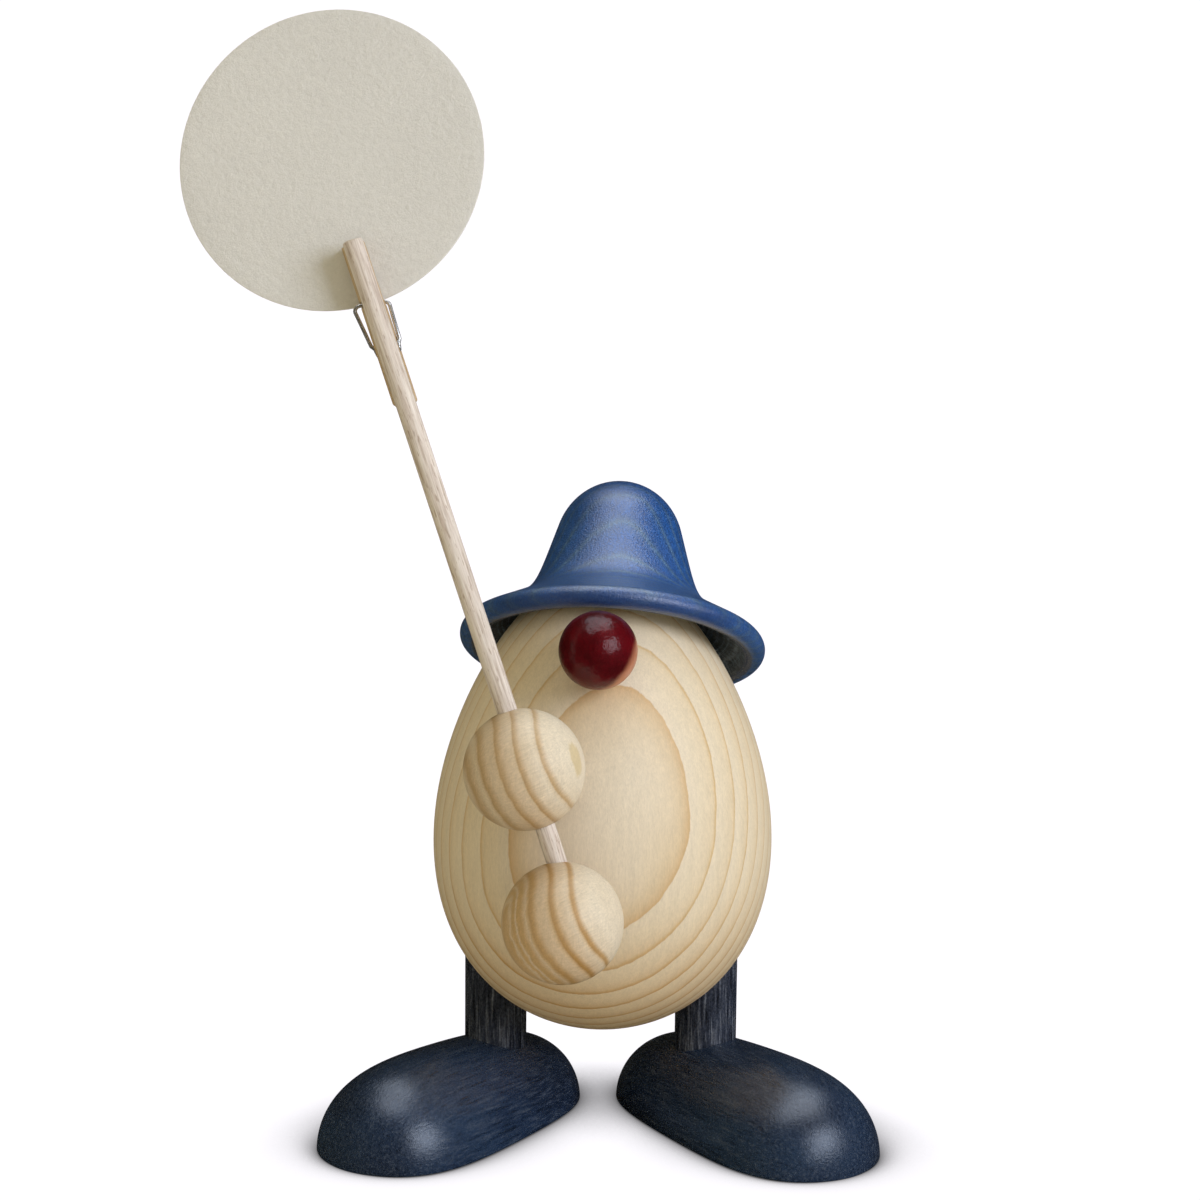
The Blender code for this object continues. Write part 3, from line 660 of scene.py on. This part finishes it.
def card_paper(at):
    """Ivory card with a soft felt-marked face and a crisp pale cut edge."""
    paint = Paint("card_felt", at)
    felt = paint.noise(0.95, (1.0, 1.0, 1.0), 5.0, 0.72)
    fibre = paint.noise(2.6, (1.0, 0.55, 1.0), 4.0, 0.7, distortion=0.6, shift=5.0)
    clouds = paint.noise(0.05, detail=2.0, shift=9.0)
    colour = paint.ramp(clouds, [(0.35, (0.738, 0.717, 0.680)), (0.65, (0.763, 0.742, 0.704))])
    colour = paint.tone(colour, felt, 0.07)
    colour = paint.tone(colour, fibre, 0.09)
    x, y, z = paint.split(paint.p)
    radius = paint.vector("LENGTH", paint.join(paint.maths("MULTIPLY", x, CARD_LONG / CARD_SHORT), y, 0.0))
    colour = paint.mix(paint.remap(radius, 23.18, 23.26, 0.0, 0.8), colour, (0.86, 0.84, 0.80))
    height = paint.maths("ADD", felt, paint.maths("MULTIPLY", fibre, 0.5))
    paint.set(Base_Color=colour, Roughness=paint.remap(felt, 0.3, 0.7, 0.80, 0.92), Normal=paint.bump(height, 0.6, 0.00036))
    paint.set(Specular_IOR_Level=0.25)
    return paint.material


def settled(obj):
    """Moves a piece's place and turn into its mesh, so that its box is a close one."""
    obj.data.transform(obj.matrix_world)
    obj.matrix_world = Matrix.Identity(4)
    return obj


def dressed(obj, material, body, slot, *nodes):
    obj.data.materials.clear()
    obj.data.materials.append(material)
    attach(obj, body)
    if nodes:
        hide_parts(*nodes)
    return obj


# ------------------------------------------------------------------ the rod's frame
up = Vector(
    (
        -math.sin(ROD_LEAN_SIDE),
        math.cos(ROD_LEAN_SIDE) * math.sin(ROD_LEAN_BACK),
        math.cos(ROD_LEAN_SIDE) * math.cos(ROD_LEAN_BACK),
    )
)
back = Vector((0.0, math.cos(ROD_LEAN_BACK), -math.sin(ROD_LEAN_BACK)))
across = back.cross(up)
rod_frame = columns(across, back, up, AXIS + ROD_AT)

# ------------------------------------------------------------------ egg, legs, shoes
stand = Matrix.Translation(AXIS)
balls = {}
for name, at, radius, depth in (
    ("nose", NOSE_AT, NOSE_RADIUS, NOSE_PEG),
    ("upper_hand", UPPER_HAND_AT, HAND_RADIUS, HAND_PEG),
    ("lower_hand", LOWER_HAND_AT, HAND_RADIUS, HAND_PEG),
):
    centre, out = resting(at, radius, GAP)
    touching, _ = resting(at, radius, 0.02 * MM)
    balls[name] = (AXIS + centre, AXIS + touching, out, radius, depth)


def dowel_bore(name):
    """Round the dowel of a ball, a hair wider than it."""
    centre, _, out, radius, depth = balls[name]
    return bore(PEG_RADIUS + 0.07 * MM, -(radius + GAP + PEG_IN_EGG + GAP), depth - radius + GAP, frame_along(out, centre), 48)


egg = turned("egg_body_fine", egg_profile(96), 224, stand)
hips = [
    bore(LEG_RADIUS + 0.07 * MM, 0.0, LEG_TOP_Z + GAP, Matrix.Translation(AXIS + Vector((hand * LEG_X, 0.0, 0.0))), 96)
    for hand in (-1, 1)
]
carve(egg, *hips, *(dowel_bore(name) for name in balls))
dressed(egg, egg_pine(), "figure", "pine_oiled", "egg_body")


def leg_mesh(name, at, seed):
    """A stained dowel whose drawn surface is very slightly uneven."""
    steps, rows = 96, 60
    obj = turned(name, round_bar(LEG_RADIUS, LEG_FOOT_Z, LEG_TOP_Z, 0.35 * MM, 4, rows), steps, at)
    for v in obj.data.vertices:
        r = math.hypot(v.co.x, v.co.y)
        if r > LEG_RADIUS * 0.8:
            turn = math.atan2(v.co.y, v.co.x)
            wave = noise.noise(Vector((math.cos(turn) * 9 + seed, math.sin(turn) * 9, v.co.z / MM * 0.05)))
            k = 1 + (0.022 * MM * wave - 0.012 * MM) / LEG_RADIUS
            v.co.x *= k
            v.co.y *= k
    return obj


def shoe_mesh(name, length, at):
    """Half of a blunt-ended turned shape lying on its flat: a row of sections
    from heel to toe, each a half disc whose lower corners are rounded."""
    full, blunt = SHOE_SHAPE
    rows, arc_steps, edge_steps = 110, 84, 6
    verts, faces, above = [], [], None
    for i in range(rows + 1):
        s = -math.cos(math.pi * i / rows)
        r = SHOE_WIDTH / 2 * math.sqrt(max(0.0, 1 - s * s)) * (1 + full * s + blunt * (s * s - 0.5))
        along = length / 2 * s
        if i in (0, rows):
            ring = [len(verts)]
            verts.append((0.0, along, 0.0))
        else:
            edge = min(0.45 * MM, 0.12 * r)
            section = [(0.0, 0.0), (0.5 * (r - edge), 0.0)]
            low = math.asin(edge / (r - edge))  # where the corner's arc meets the big one
            cx = (r - edge) * math.cos(low)
            for k in range(edge_steps + 1):
                t = -math.pi / 2 + (math.pi / 2 + low) * k / edge_steps
                section.append((cx + edge * math.cos(t), edge + edge * math.sin(t)))
            for k in range(1, arc_steps):
                t = low + (math.pi - 2 * low) * k / arc_steps
                section.append((r * math.cos(t), r * math.sin(t)))
            for k in range(edge_steps + 1):
                t = math.pi - low + (math.pi / 2 + low) * k / edge_steps
                section.append((-cx + edge * math.cos(t), edge + edge * math.sin(t)))
            section.append((-0.5 * (r - edge), 0.0))
            ring = list(range(len(verts), len(verts) + len(section)))
            verts += [(x, along, z) for x, z in section]
        if above is not None:
            count = max(len(ring), len(above))
            for k in range(count):
                n = (k + 1) % count
                if len(above) == 1:
                    faces.append((above[0], ring[k], ring[n]))
                elif len(ring) == 1:
                    faces.append((above[k], ring[0], above[n]))
                else:
                    faces.append((above[k], ring[k], ring[n], above[n]))
        above = ring
    # the sections run along Y; the piece's own Z runs from heel to toe
    verts = [(z, x, y) for x, y, z in verts]
    mesh = bpy.data.meshes.new(name)
    mesh.from_pydata(verts, [], faces)
    obj = linked(name, mesh, at)
    work = bmesh.new()
    work.from_mesh(mesh)
    bmesh.ops.recalc_face_normals(work, faces=work.faces)
    work.to_mesh(mesh)
    work.free()
    return shade(obj, 50)


leg_stain = navy("stain_navy_leg", 0.5, (0.55, (0.050, 0.055, 0.073)), (1.0, 1.0, 0.05), 0.85, 0.95, 2.2, 1.0, 0.35, 0.08, (0.19, 0.205, 0.245))
for side, hand in (("left", -1), ("right", 1)):
    ankle = Matrix.Translation(AXIS + Vector((hand * LEG_X, 0.0, 0.0)))
    leg = leg_mesh(side + "_leg_fine", ankle, 3.0 * hand)
    dressed(leg, leg_stain, "figure", "wood_navy_stain", side + "_leg")
    toe = Vector((hand * math.cos(SHOE_SPLAY), -math.sin(SHOE_SPLAY), 0.0))
    rise = Vector((0.0, 0.0, 1.0))
    at = AXIS + Vector((hand * SHOE_CENTRE[0], SHOE_CENTRE[1], 0.0)) + toe * SHOE_TRIM[hand] / 2
    shoe_frame = columns(rise, toe.cross(rise), toe, at)
    shoe = shoe_mesh(side + "_shoe_fine", SHOE_LENGTH - SHOE_TRIM[hand], shoe_frame)
    carve(shoe, bore(LEG_RADIUS + 0.08 * MM, LEG_FOOT_Z - GAP, 40 * MM, ankle, 96))
    shoe_stain = navy("stain_navy_" + side + "_shoe", 1.1, (0.40, (0.026, 0.036, 0.056)), (1.0, 1.0, 0.055), 0.60, 0.45, 0.7, 0.34, 0.66, 0.12, (0.085, 0.105, 0.145), shoe_frame)
    dressed(settled(shoe), shoe_stain, "figure", "wood_navy_stain", side + "_shoe")


# ------------------------------------------------------------------ hat
def hat_profile():
    made = [(0.0, DOME_BASE + DOME_HEIGHT)]
    for i in range(1, 33):
        t = math.pi / 2 + (DOME_END - math.pi / 2) * i / 32
        made.append((DOME_RADIUS * math.cos(t), DOME_BASE + DOME_HEIGHT * math.sin(t)))
    start = made[-1]
    slope = Vector((DOME_RADIUS * math.sin(DOME_END), -DOME_HEIGHT * math.cos(DOME_END))).normalized() * FLANK_PULL[0]
    end = (RIM_RADIUS + RIM_HALF * math.cos(RIM_START), RIM_HALF * math.sin(RIM_START))
    into = Vector((math.sin(RIM_START), -math.cos(RIM_START))) * FLANK_PULL[1]
    made += bezier(start, (start[0] + slope.x, start[1] + slope.y), (end[0] - into.x, end[1] - into.y), end, 44)
    for i in range(1, 33):
        t = RIM_START + (RIM_END - RIM_START) * i / 32
        made.append((RIM_RADIUS + RIM_HALF * math.cos(t), RIM_HALF * math.sin(t)))
    last = made[-1]
    # a small turned lip, then the hollow's cone
    made += [(last[0] - 0.20 * MM, last[1] - 0.06 * MM), (last[0] - 0.36 * MM, last[1] + 0.02 * MM), (last[0] - 0.42 * MM, last[1] + 0.22 * MM)]
    for a, b, count in ((made[-1], HOLLOW[0], 4), (HOLLOW[0], HOLLOW[1], 14)):
        for k in range(1, count + 1):
            t = k / count
            made.append((a[0] + (b[0] - a[0]) * t, a[1] + (b[1] - a[1]) * t))
    made.append((6.0 * MM, 6.9 * MM))
    made.append((0.0, HOLLOW_TOP))
    return made


hat_frame = (
    Matrix.Translation(AXIS + HAT_CENTRE)
    @ Matrix.Rotation(HAT_ROLL, 4, "Y")
    @ Matrix.Rotation(-HAT_TILT, 4, "X")
)
hat = turned("hat_fine", hat_profile(), 224, hat_frame)
carve(hat, turned("head", egg_profile(60, 0.12 * MM), 160, stand))
dressed(settled(hat), hat_blue(hat_frame), "figure", "wood_blue_stain", "hat")


# ------------------------------------------------------------------ nose and hands
def ball(name):
    _, at, out, radius, _ = balls[name]
    rows = 84
    profile = [
        (0.0 if i in (0, rows) else radius * math.sin(math.pi * i / rows), radius * math.cos(math.pi * i / rows))
        for i in range(rows + 1)
    ]
    obj = turned(name + "_fine", profile, 144, Matrix.Translation(at))
    cuts = [dowel_bore(name)]
    if name != "nose":
        cuts.append(bore(ROD_RADIUS + 0.06 * MM, -ROD_BELOW - GAP, 60 * MM, rod_frame, 72))
    return carve(obj, *cuts)


nose = ball("nose")
dressed(nose, maroon(), "figure", "wood_maroon_lacquer", "nose")
upper_hand = ball("upper_hand")
dressed(
    upper_hand,
    hand_pine(
        "pine_upper_hand",
        (0.9063, 0.1974, 0.3738),
        (0.386, -0.0261, -0.9221),
        -0.0343,
        [(-8.5, 0.7), (-6.75, 0.8), (-4.3, 1.0), (-1.5, 1.0), (2.1, 0.7)],
        0.24,
        [(-9.0, 0.2), (-6.5, 0.7), (-3.5, 1.0), (-0.2, 0.45), (2.3, 0.0)],
        (0.61, 0.445, 0.26),
        (0.45, 0.275, 0.12),
        (7.8, -3.8, 2.6),
    ),
    "figure",
    "pine_oiled",
    "upper_hand",
)
lower_hand = ball("lower_hand")
dressed(
    lower_hand,
    hand_pine(
        "pine_lower_hand",
        (0.8587, 0.4241, 0.2877),
        (0.3805, -0.1517, -0.9123),
        -0.058,
        [(-9.1, 0.0), (-8.65, 0.0), (-8.2, 0.15), (-6.9, 0.65), (-4.1, 1.0), (-0.85, 0.75)],
        0.38,
        [(-9.4, 0.5), (-7.0, 1.0), (-3.4, 1.0), (-1.2, 0.40), (0.2, 0.1)],
        (0.58, 0.375, 0.175),
        (0.405, 0.215, 0.06),
    ),
    "figure",
    "pine_oiled",
    "lower_hand",
)
birch = plain_wood("birch", (0.56, 0.41, 0.24), (0.66, 0.51, 0.32), (0.72, 0.58, 0.39), (0.42, 0.27, 0.13), 0.55)
for name in ("nose_dowel", "upper_hand_dowel", "lower_hand_dowel"):
    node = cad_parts[name]
    node.data.materials.clear()
    node.data.materials.append(birch)

# ------------------------------------------------------------------ rod
beech = plain_wood("beech", (0.51, 0.405, 0.335), (0.73, 0.64, 0.57), (0.85, 0.775, 0.71), (0.34, 0.215, 0.14), 0.6, 1.2)
rod = turned("message_rod_fine", round_bar(ROD_RADIUS, -ROD_BELOW, ROD_ABOVE, 0.28 * MM, 4, 120), 64, rod_frame)
for v in rod.data.vertices:
    if math.hypot(v.co.x, v.co.y) > ROD_RADIUS * 0.9:
        turn = math.atan2(v.co.y, v.co.x)
        wave = noise.noise(Vector((math.cos(turn) * 4, math.sin(turn) * 4, v.co.z / MM * 0.06)))
        k = 1 + 0.012 * MM * (wave - 0.6) / ROD_RADIUS
        v.co.x *= k
        v.co.y *= k
dressed(rod, beech, "staff", "beech_plain", "message_rod")

# ------------------------------------------------------------------ sprung peg
MID = ROD_RADIUS + GAP + LEVER_THICK + JAW_HALF_GAP
TIP = AXIS + ROD_AT + up * CLIP_TIP + across * PEG_CLIP_SIDE + back * MID
COIL_AT = TIP - up * COIL_FROM_TIP


def arc(cx, cy, radius, start, end, count):
    return [
        (cx + radius * math.cos(start + (end - start) * i / count), cy + radius * math.sin(start + (end - start) * i / count))
        for i in range(count + 1)
    ]


def lever_outline():
    """A lever's outline, seen along the coil: x from the jaw plane outwards, y
    from the coil's axis up to the jaw tip."""
    inner, outer = JAW_HALF_GAP, JAW_HALF_GAP + LEVER_THICK
    top, foot = COIL_FROM_TIP, COIL_FROM_TIP - CLIP_LENGTH
    groove = COIL_FROM_TIP - GROOVE_FROM_TIP
    notch = COIL_FROM_TIP - NOTCH_FROM_TIP
    rise = math.sqrt(COIL_SEAT_RADIUS**2 - inner**2)
    turn = math.atan2(rise, inner)
    made = arc(outer - 0.5 * MM, top - 0.5 * MM, 0.5 * MM, 0.0, math.pi / 2, 6)
    made += arc(inner + 0.25 * MM, top - 0.25 * MM, 0.25 * MM, math.pi / 2, math.pi, 4)
    made += arc(inner, notch, NOTCH_RADIUS, math.pi / 2, -math.pi / 2, 14)
    made += arc(0.0, 0.0, COIL_SEAT_RADIUS, turn, -turn, 14)
    made.append((inner + 0.05 * MM, -rise - 0.6 * MM))
    made += arc(outer - LEVER_TAIL + 0.3 * MM, foot + 0.3 * MM, 0.3 * MM, math.pi, 1.5 * math.pi, 4)
    made += arc(outer - 0.4 * MM, foot + 0.4 * MM, 0.4 * MM, -math.pi / 2, 0.0, 5)
    made += [
        (outer, groove - GROOVE_HALF),
        (outer - GROOVE_DEEP, groove - GROOVE_HALF),
        (outer - GROOVE_DEEP, groove + GROOVE_HALF),
        (outer, groove + GROOVE_HALF),
    ]
    return made


def lever(name, at, tail_round):
    """A sawn lever with softened edges. Its own Y runs from the tail to the jaw.
    The corners of the tail are rounded off when seen from the front."""
    outline = lever_outline()
    half = CLIP_WIDTH / 2
    foot = COIL_FROM_TIP - CLIP_LENGTH
    work = bmesh.new()
    lower = [work.verts.new((x, y, -half)) for x, y in outline]
    upper = [work.verts.new((x, y, half)) for x, y in outline]
    count = len(outline)
    work.faces.new(lower[::-1])
    work.faces.new(upper)
    for i in range(count):
        n = (i + 1) % count
        work.faces.new((lower[i], lower[n], upper[n], upper[i]))
    bmesh.ops.recalc_face_normals(work, faces=work.faces)
    rims = [e for e in work.edges if abs(abs(e.verts[0].co.z) - half) < 1e-9 and abs(e.verts[0].co.z - e.verts[1].co.z) < 1e-9]
    bmesh.ops.bevel(work, geom=rims, offset=0.09 * MM, segments=2, profile=0.5, affect="EDGES", clamp_overlap=True)
    for v in work.verts:
        low = (foot + tail_round - v.co.y) / tail_round
        if low > 0:
            reach = half - tail_round * (1 - math.sqrt(max(0.0, 1 - low * low)))
            if abs(v.co.z) > reach:
                v.co.z = math.copysign(reach, v.co.z)
    mesh = bpy.data.meshes.new(name)
    work.to_mesh(mesh)
    work.free()
    return shade(linked(name, mesh, at), 32)


def lever_wood():
    """Birch whose grain runs along the lever's own Y, darker on its sawn ends."""
    paint = Paint("birch_lever")
    fibre = paint.noise(2.0, (1.0, 0.05, 1.0), 5.0, 0.65)
    fine = paint.noise(6.0, (1.0, 0.08, 1.0), 3.0, 0.7, shift=3.0)
    colour = paint.ramp(fibre, [(0.32, (0.60, 0.43, 0.25)), (0.5, (0.70, 0.545, 0.35)), (0.68, (0.76, 0.62, 0.42))])
    colour = paint.tone(colour, fine, 0.14)
    x, y, z = paint.split(paint.p)
    edge = paint.remap(paint.maths("ABSOLUTE", z), 1.58, 1.74, 0.0, 0.7)
    colour = paint.mix(edge, colour, (0.50, 0.31, 0.14))
    height = paint.maths("ADD", fibre, paint.maths("MULTIPLY", fine, 0.6))
    paint.set(Base_Color=colour, Roughness=paint.remap(fine, 0.3, 0.7, 0.48, 0.6), Normal=paint.bump(height, 0.4, 0.00010))
    return paint.material


lever_paint = lever_wood()
rear_lever = lever("clip_rear_lever_fine", columns(back, up, across, COIL_AT), 0.45 * MM)
dressed(rear_lever, lever_paint, "clip_lever", "birch_yellow", "clip_rear_lever")
front_lever = lever("clip_front_lever_fine", columns(-back, up, -across, COIL_AT), 0.45 * MM)
dressed(front_lever, lever_paint, "staff", "birch_yellow", "clip_front_lever")


def arm_path(bulge, count=40):
    """From the coil's end up beside the lever and over it, into the groove."""
    lie = JAW_HALF_GAP + LEVER_THICK - WIRE_RADIUS - 0.07 * MM
    level = COIL_FROM_TIP - GROOVE_FROM_TIP
    made = []
    for i in range(1, count + 1):
        t = i / count
        ease = min(1.0, t * 7.0)
        ease = ease * ease * (3 - 2 * ease)
        start = COIL_HALF_WIDTH + (ARM_CLEAR + (bulge - ARM_CLEAR) / 7 - COIL_HALF_WIDTH) * ease
        side = start if t < 1 / 7 else ARM_CLEAR + (bulge - ARM_CLEAR) * t
        made.append((side, COIL_RADIUS + (lie - COIL_RADIUS) * t * t, (level - 0.75 * MM) * t))
    for i in range(1, 13):
        t = math.pi / 2 * i / 12
        made.append((bulge - 0.75 * MM * (1 - math.cos(t)), lie, level - 0.75 * MM * (1 - math.sin(t))))
    made.append((-ARM_REACH, lie, level))
    return made


def tube(name, path, radius, at, start_cap, end_cap, sides=18):
    """A round wire swept along a path, turning as little as it can."""
    points = [Vector(p) for p in path]
    count = len(points)
    tangents = []
    for i in range(count):
        a, b = points[max(i - 1, 0)], points[min(i + 1, count - 1)]
        tangents.append((b - a).normalized())
    normal = tangents[0].orthogonal().normalized()
    verts, faces = [], []
    for i in range(count):
        normal = (normal - tangents[i] * normal.dot(tangents[i])).normalized()
        side = tangents[i].cross(normal)
        for k in range(sides):
            t = 2 * math.pi * k / sides
            verts.append(points[i] + (normal * math.cos(t) + side * math.sin(t)) * radius)
    for i in range(count - 1):
        for k in range(sides):
            n = (k + 1) % sides
            faces.append((i * sides + k, i * sides + n, (i + 1) * sides + n, (i + 1) * sides + k))
    for end, index, flip in ((start_cap, 0, True), (end_cap, count - 1, False)):
        ring = [index * sides + k for k in range(sides)]
        tip = len(verts)
        push = radius * (0.35 if end else 0.0)
        verts.append(points[index] + tangents[index] * (push if not flip else -push))
        for k in range(sides):
            n = (k + 1) % sides
            faces.append((ring[n], ring[k], tip) if flip else (ring[k], ring[n], tip))
    mesh = bpy.data.meshes.new(name)
    mesh.from_pydata([tuple(v) for v in verts], [], faces)
    obj = linked(name, mesh, at)
    work = bmesh.new()
    work.from_mesh(mesh)
    bmesh.ops.recalc_face_normals(work, faces=work.faces)
    work.to_mesh(mesh)
    work.free()
    return shade(obj, 60)


coil = []
turns = round(COIL_TURNS * 40)
for i in range(turns + 1):
    turn = math.pi + 2 * math.pi * COIL_TURNS * i / turns
    coil.append((-COIL_HALF_WIDTH + 2 * COIL_HALF_WIDTH * i / turns, COIL_RADIUS * math.cos(turn), COIL_RADIUS * math.sin(turn)))
coil_frame = columns(across, back, up, COIL_AT)
steel = wire_steel()
front_arm = tube(
    "clip_spring_front_arm",
    [(-x, -y, z) for x, y, z in reversed(arm_path(FRONT_ARM_BULGE))] + [coil[0]],
    WIRE_RADIUS,
    coil_frame,
    True,
    False,
)
dressed(front_arm, steel, "staff", "spring_wire", "clip_spring")
rear_arm = tube("clip_spring_rear_arm", [coil[-1]] + arm_path(REAR_ARM_BULGE), WIRE_RADIUS, coil_frame, False, True)
dressed(rear_arm, steel, "clip_lever", "spring_wire", "clip_spring")
coil_piece = tube("clip_spring_coil", coil, WIRE_RADIUS, coil_frame, False, False)
coil_piece.data.materials.append(steel)
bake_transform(coil_piece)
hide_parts("clip_spring")


# ------------------------------------------------------------------ card
def card_profile():
    half, edge = CARD_THICK / 2, 0.10 * MM
    made = [(0.0, half)]
    made += [(CARD_LONG * k / 12, half) for k in range(1, 12)]
    made.append((CARD_LONG - edge, half))
    for i in range(1, 5):
        t = math.pi / 2 * (1 - i / 4)
        made.append((CARD_LONG - edge + edge * math.cos(t), half - edge + edge * math.sin(t)))
    made += [(r, -z) for r, z in reversed(made)]
    return made


card_at = AXIS + ROD_AT + across * CARD_AT[0] + up * CARD_AT[1] + back * MID
longways = across * math.cos(CARD_TURN) + up * math.sin(CARD_TURN)
card_frame = columns(longways.cross(back), longways, back, card_at)
card = turned("round_card_fine", card_profile(), 240, card_frame)
card.data.transform(Matrix.Diagonal((CARD_SHORT / CARD_LONG, 1.0, 1.0, 1.0)))
dressed(settled(card), card_paper(card_frame), "card", "card_ivory", "round_card")


# ------------------------------------------------------------------ studio
def studio_floor():
    """A pale dish, flat under the figure and rising all round it."""
    profile = [(0.0, 0.0)] + [(0.05 * k, 0.0) for k in range(1, 19)]
    for i in range(1, 25):
        t = -math.pi / 2 + math.pi / 2 * i / 24
        profile.append((0.9 + 0.5 * math.cos(t), 0.5 + 0.5 * math.sin(t)))
    profile.append((1.4, 1.8))
    obj = turned("studio_floor", profile, 128, Matrix.Translation((0.0, 0.0, -0.00005)))
    material = bpy.data.materials.new("studio_white")
    material.use_nodes = True
    tree = material.node_tree
    tree.nodes.clear()
    out = tree.nodes.new("ShaderNodeOutputMaterial")
    # what the camera sees: a near white emission, with a painted soft shadow where things stand on it
    hidden = tree.nodes.new("ShaderNodeAmbientOcclusion")
    hidden.samples = 24
    hidden.inputs["Distance"].default_value = 0.0145
    shadow = tree.nodes.new("ShaderNodeValToRGB")
    lean = tree.nodes.new("ShaderNodeCombineXYZ")  # light comes more from the front
    lean.inputs[1].default_value, lean.inputs[2].default_value = -0.3, 0.954
    tree.links.new(lean.outputs[0], hidden.inputs["Normal"])
    tree.links.new(hidden.outputs["AO"], shadow.inputs[0])
    shades = [(0.0, 0.04), (0.45, 0.15), (0.60, 0.24), (0.72, 0.38), (0.81, 0.62), (0.88, 0.86), (0.94, 1.0), (1.0, 1.06)]
    while len(shadow.color_ramp.elements) < len(shades):
        shadow.color_ramp.elements.new(0.5)
    for element, (at, shade_value) in zip(shadow.color_ramp.elements, shades):
        element.position = at
    for element, (at, v) in zip(shadow.color_ramp.elements, shades):
        element.color = (v, v * 0.982, v * 1.02, 1.0)
    both = tree.nodes.new("ShaderNodeEmission")
    tree.links.new(shadow.outputs[0], both.inputs["Color"])
    dull = tree.nodes.new("ShaderNodeBsdfDiffuse")
    dull.inputs["Color"].default_value = (0.74, 0.69, 0.58, 1.0)
    path = tree.nodes.new("ShaderNodeLightPath")
    pick = tree.nodes.new("ShaderNodeMixShader")
    tree.links.new(path.outputs["Is Camera Ray"], pick.inputs[0])
    tree.links.new(dull.outputs[0], pick.inputs[1])
    tree.links.new(both.outputs[0], pick.inputs[2])
    black = tree.nodes.new("ShaderNodeBsdfDiffuse")
    black.inputs["Color"].default_value = (0.03, 0.03, 0.03, 1.0)
    glare = tree.nodes.new("ShaderNodeMixShader")
    tree.links.new(path.outputs["Is Glossy Ray"], glare.inputs[0])
    tree.links.new(pick.outputs[0], glare.inputs[1])
    tree.links.new(black.outputs[0], glare.inputs[2])
    tree.links.new(glare.outputs[0], out.inputs[0])
    obj.data.materials.append(material)
    return obj


studio_floor()

world = bpy.data.worlds.new("studio")
world.use_nodes = True
world.node_tree.nodes["Background"].inputs["Color"].default_value = (1.0, 0.929, 0.60, 1.0)
world.node_tree.nodes["Background"].inputs["Strength"].default_value = 0.52
scene.world = world
world.cycles_visibility.glossy = False  # a soft fill that leaves no glare


def softbox(name, at, target, width, height, power, colour=(1.0, 1.0, 1.0), glossy=True, diffuse=True):
    light = bpy.data.lights.new(name, "AREA")
    light.shape = "RECTANGLE"
    light.size = width
    light.size_y = height
    light.energy = power
    light.color = colour
    obj = bpy.data.objects.new(name, light)
    scene.collection.objects.link(obj)
    obj.location = at
    obj.rotation_mode = "QUATERNION"
    obj.rotation_quaternion = (Vector(target) - Vector(at)).to_track_quat("-Z", "Y")
    obj.visible_camera = False
    obj.visible_glossy = glossy
    obj.visible_diffuse = diffuse
    return obj


middle = Vector((0.0, 0.0, 0.07))
softbox("over", (0.02, -0.08, 0.95), middle, 0.90, 0.54, 4.2, (0.90, 0.95, 1.02), diffuse=False)
softbox("over_back", (0.02, 0.34, 0.90), middle, 0.80, 0.38, 2.1, (0.86, 0.94, 1.04))
softbox("fill_left", middle + Vector((-0.78, -0.52, 0.02)), middle, 0.60, 0.50, 0.75, (1.0, 0.97, 0.88), glossy=False)
softbox("key", middle + Vector((0.72, -0.5624, 0.4067)) * 0.95, middle, 0.50, 0.50, 6.2, (0.875, 0.938, 1.085), glossy=False)
softbox("key_gleam", middle + Vector((0.62, -0.66, 0.42)) * 0.95, middle, 0.62, 0.55, 4.4, (0.87, 0.94, 1.04), diffuse=False)
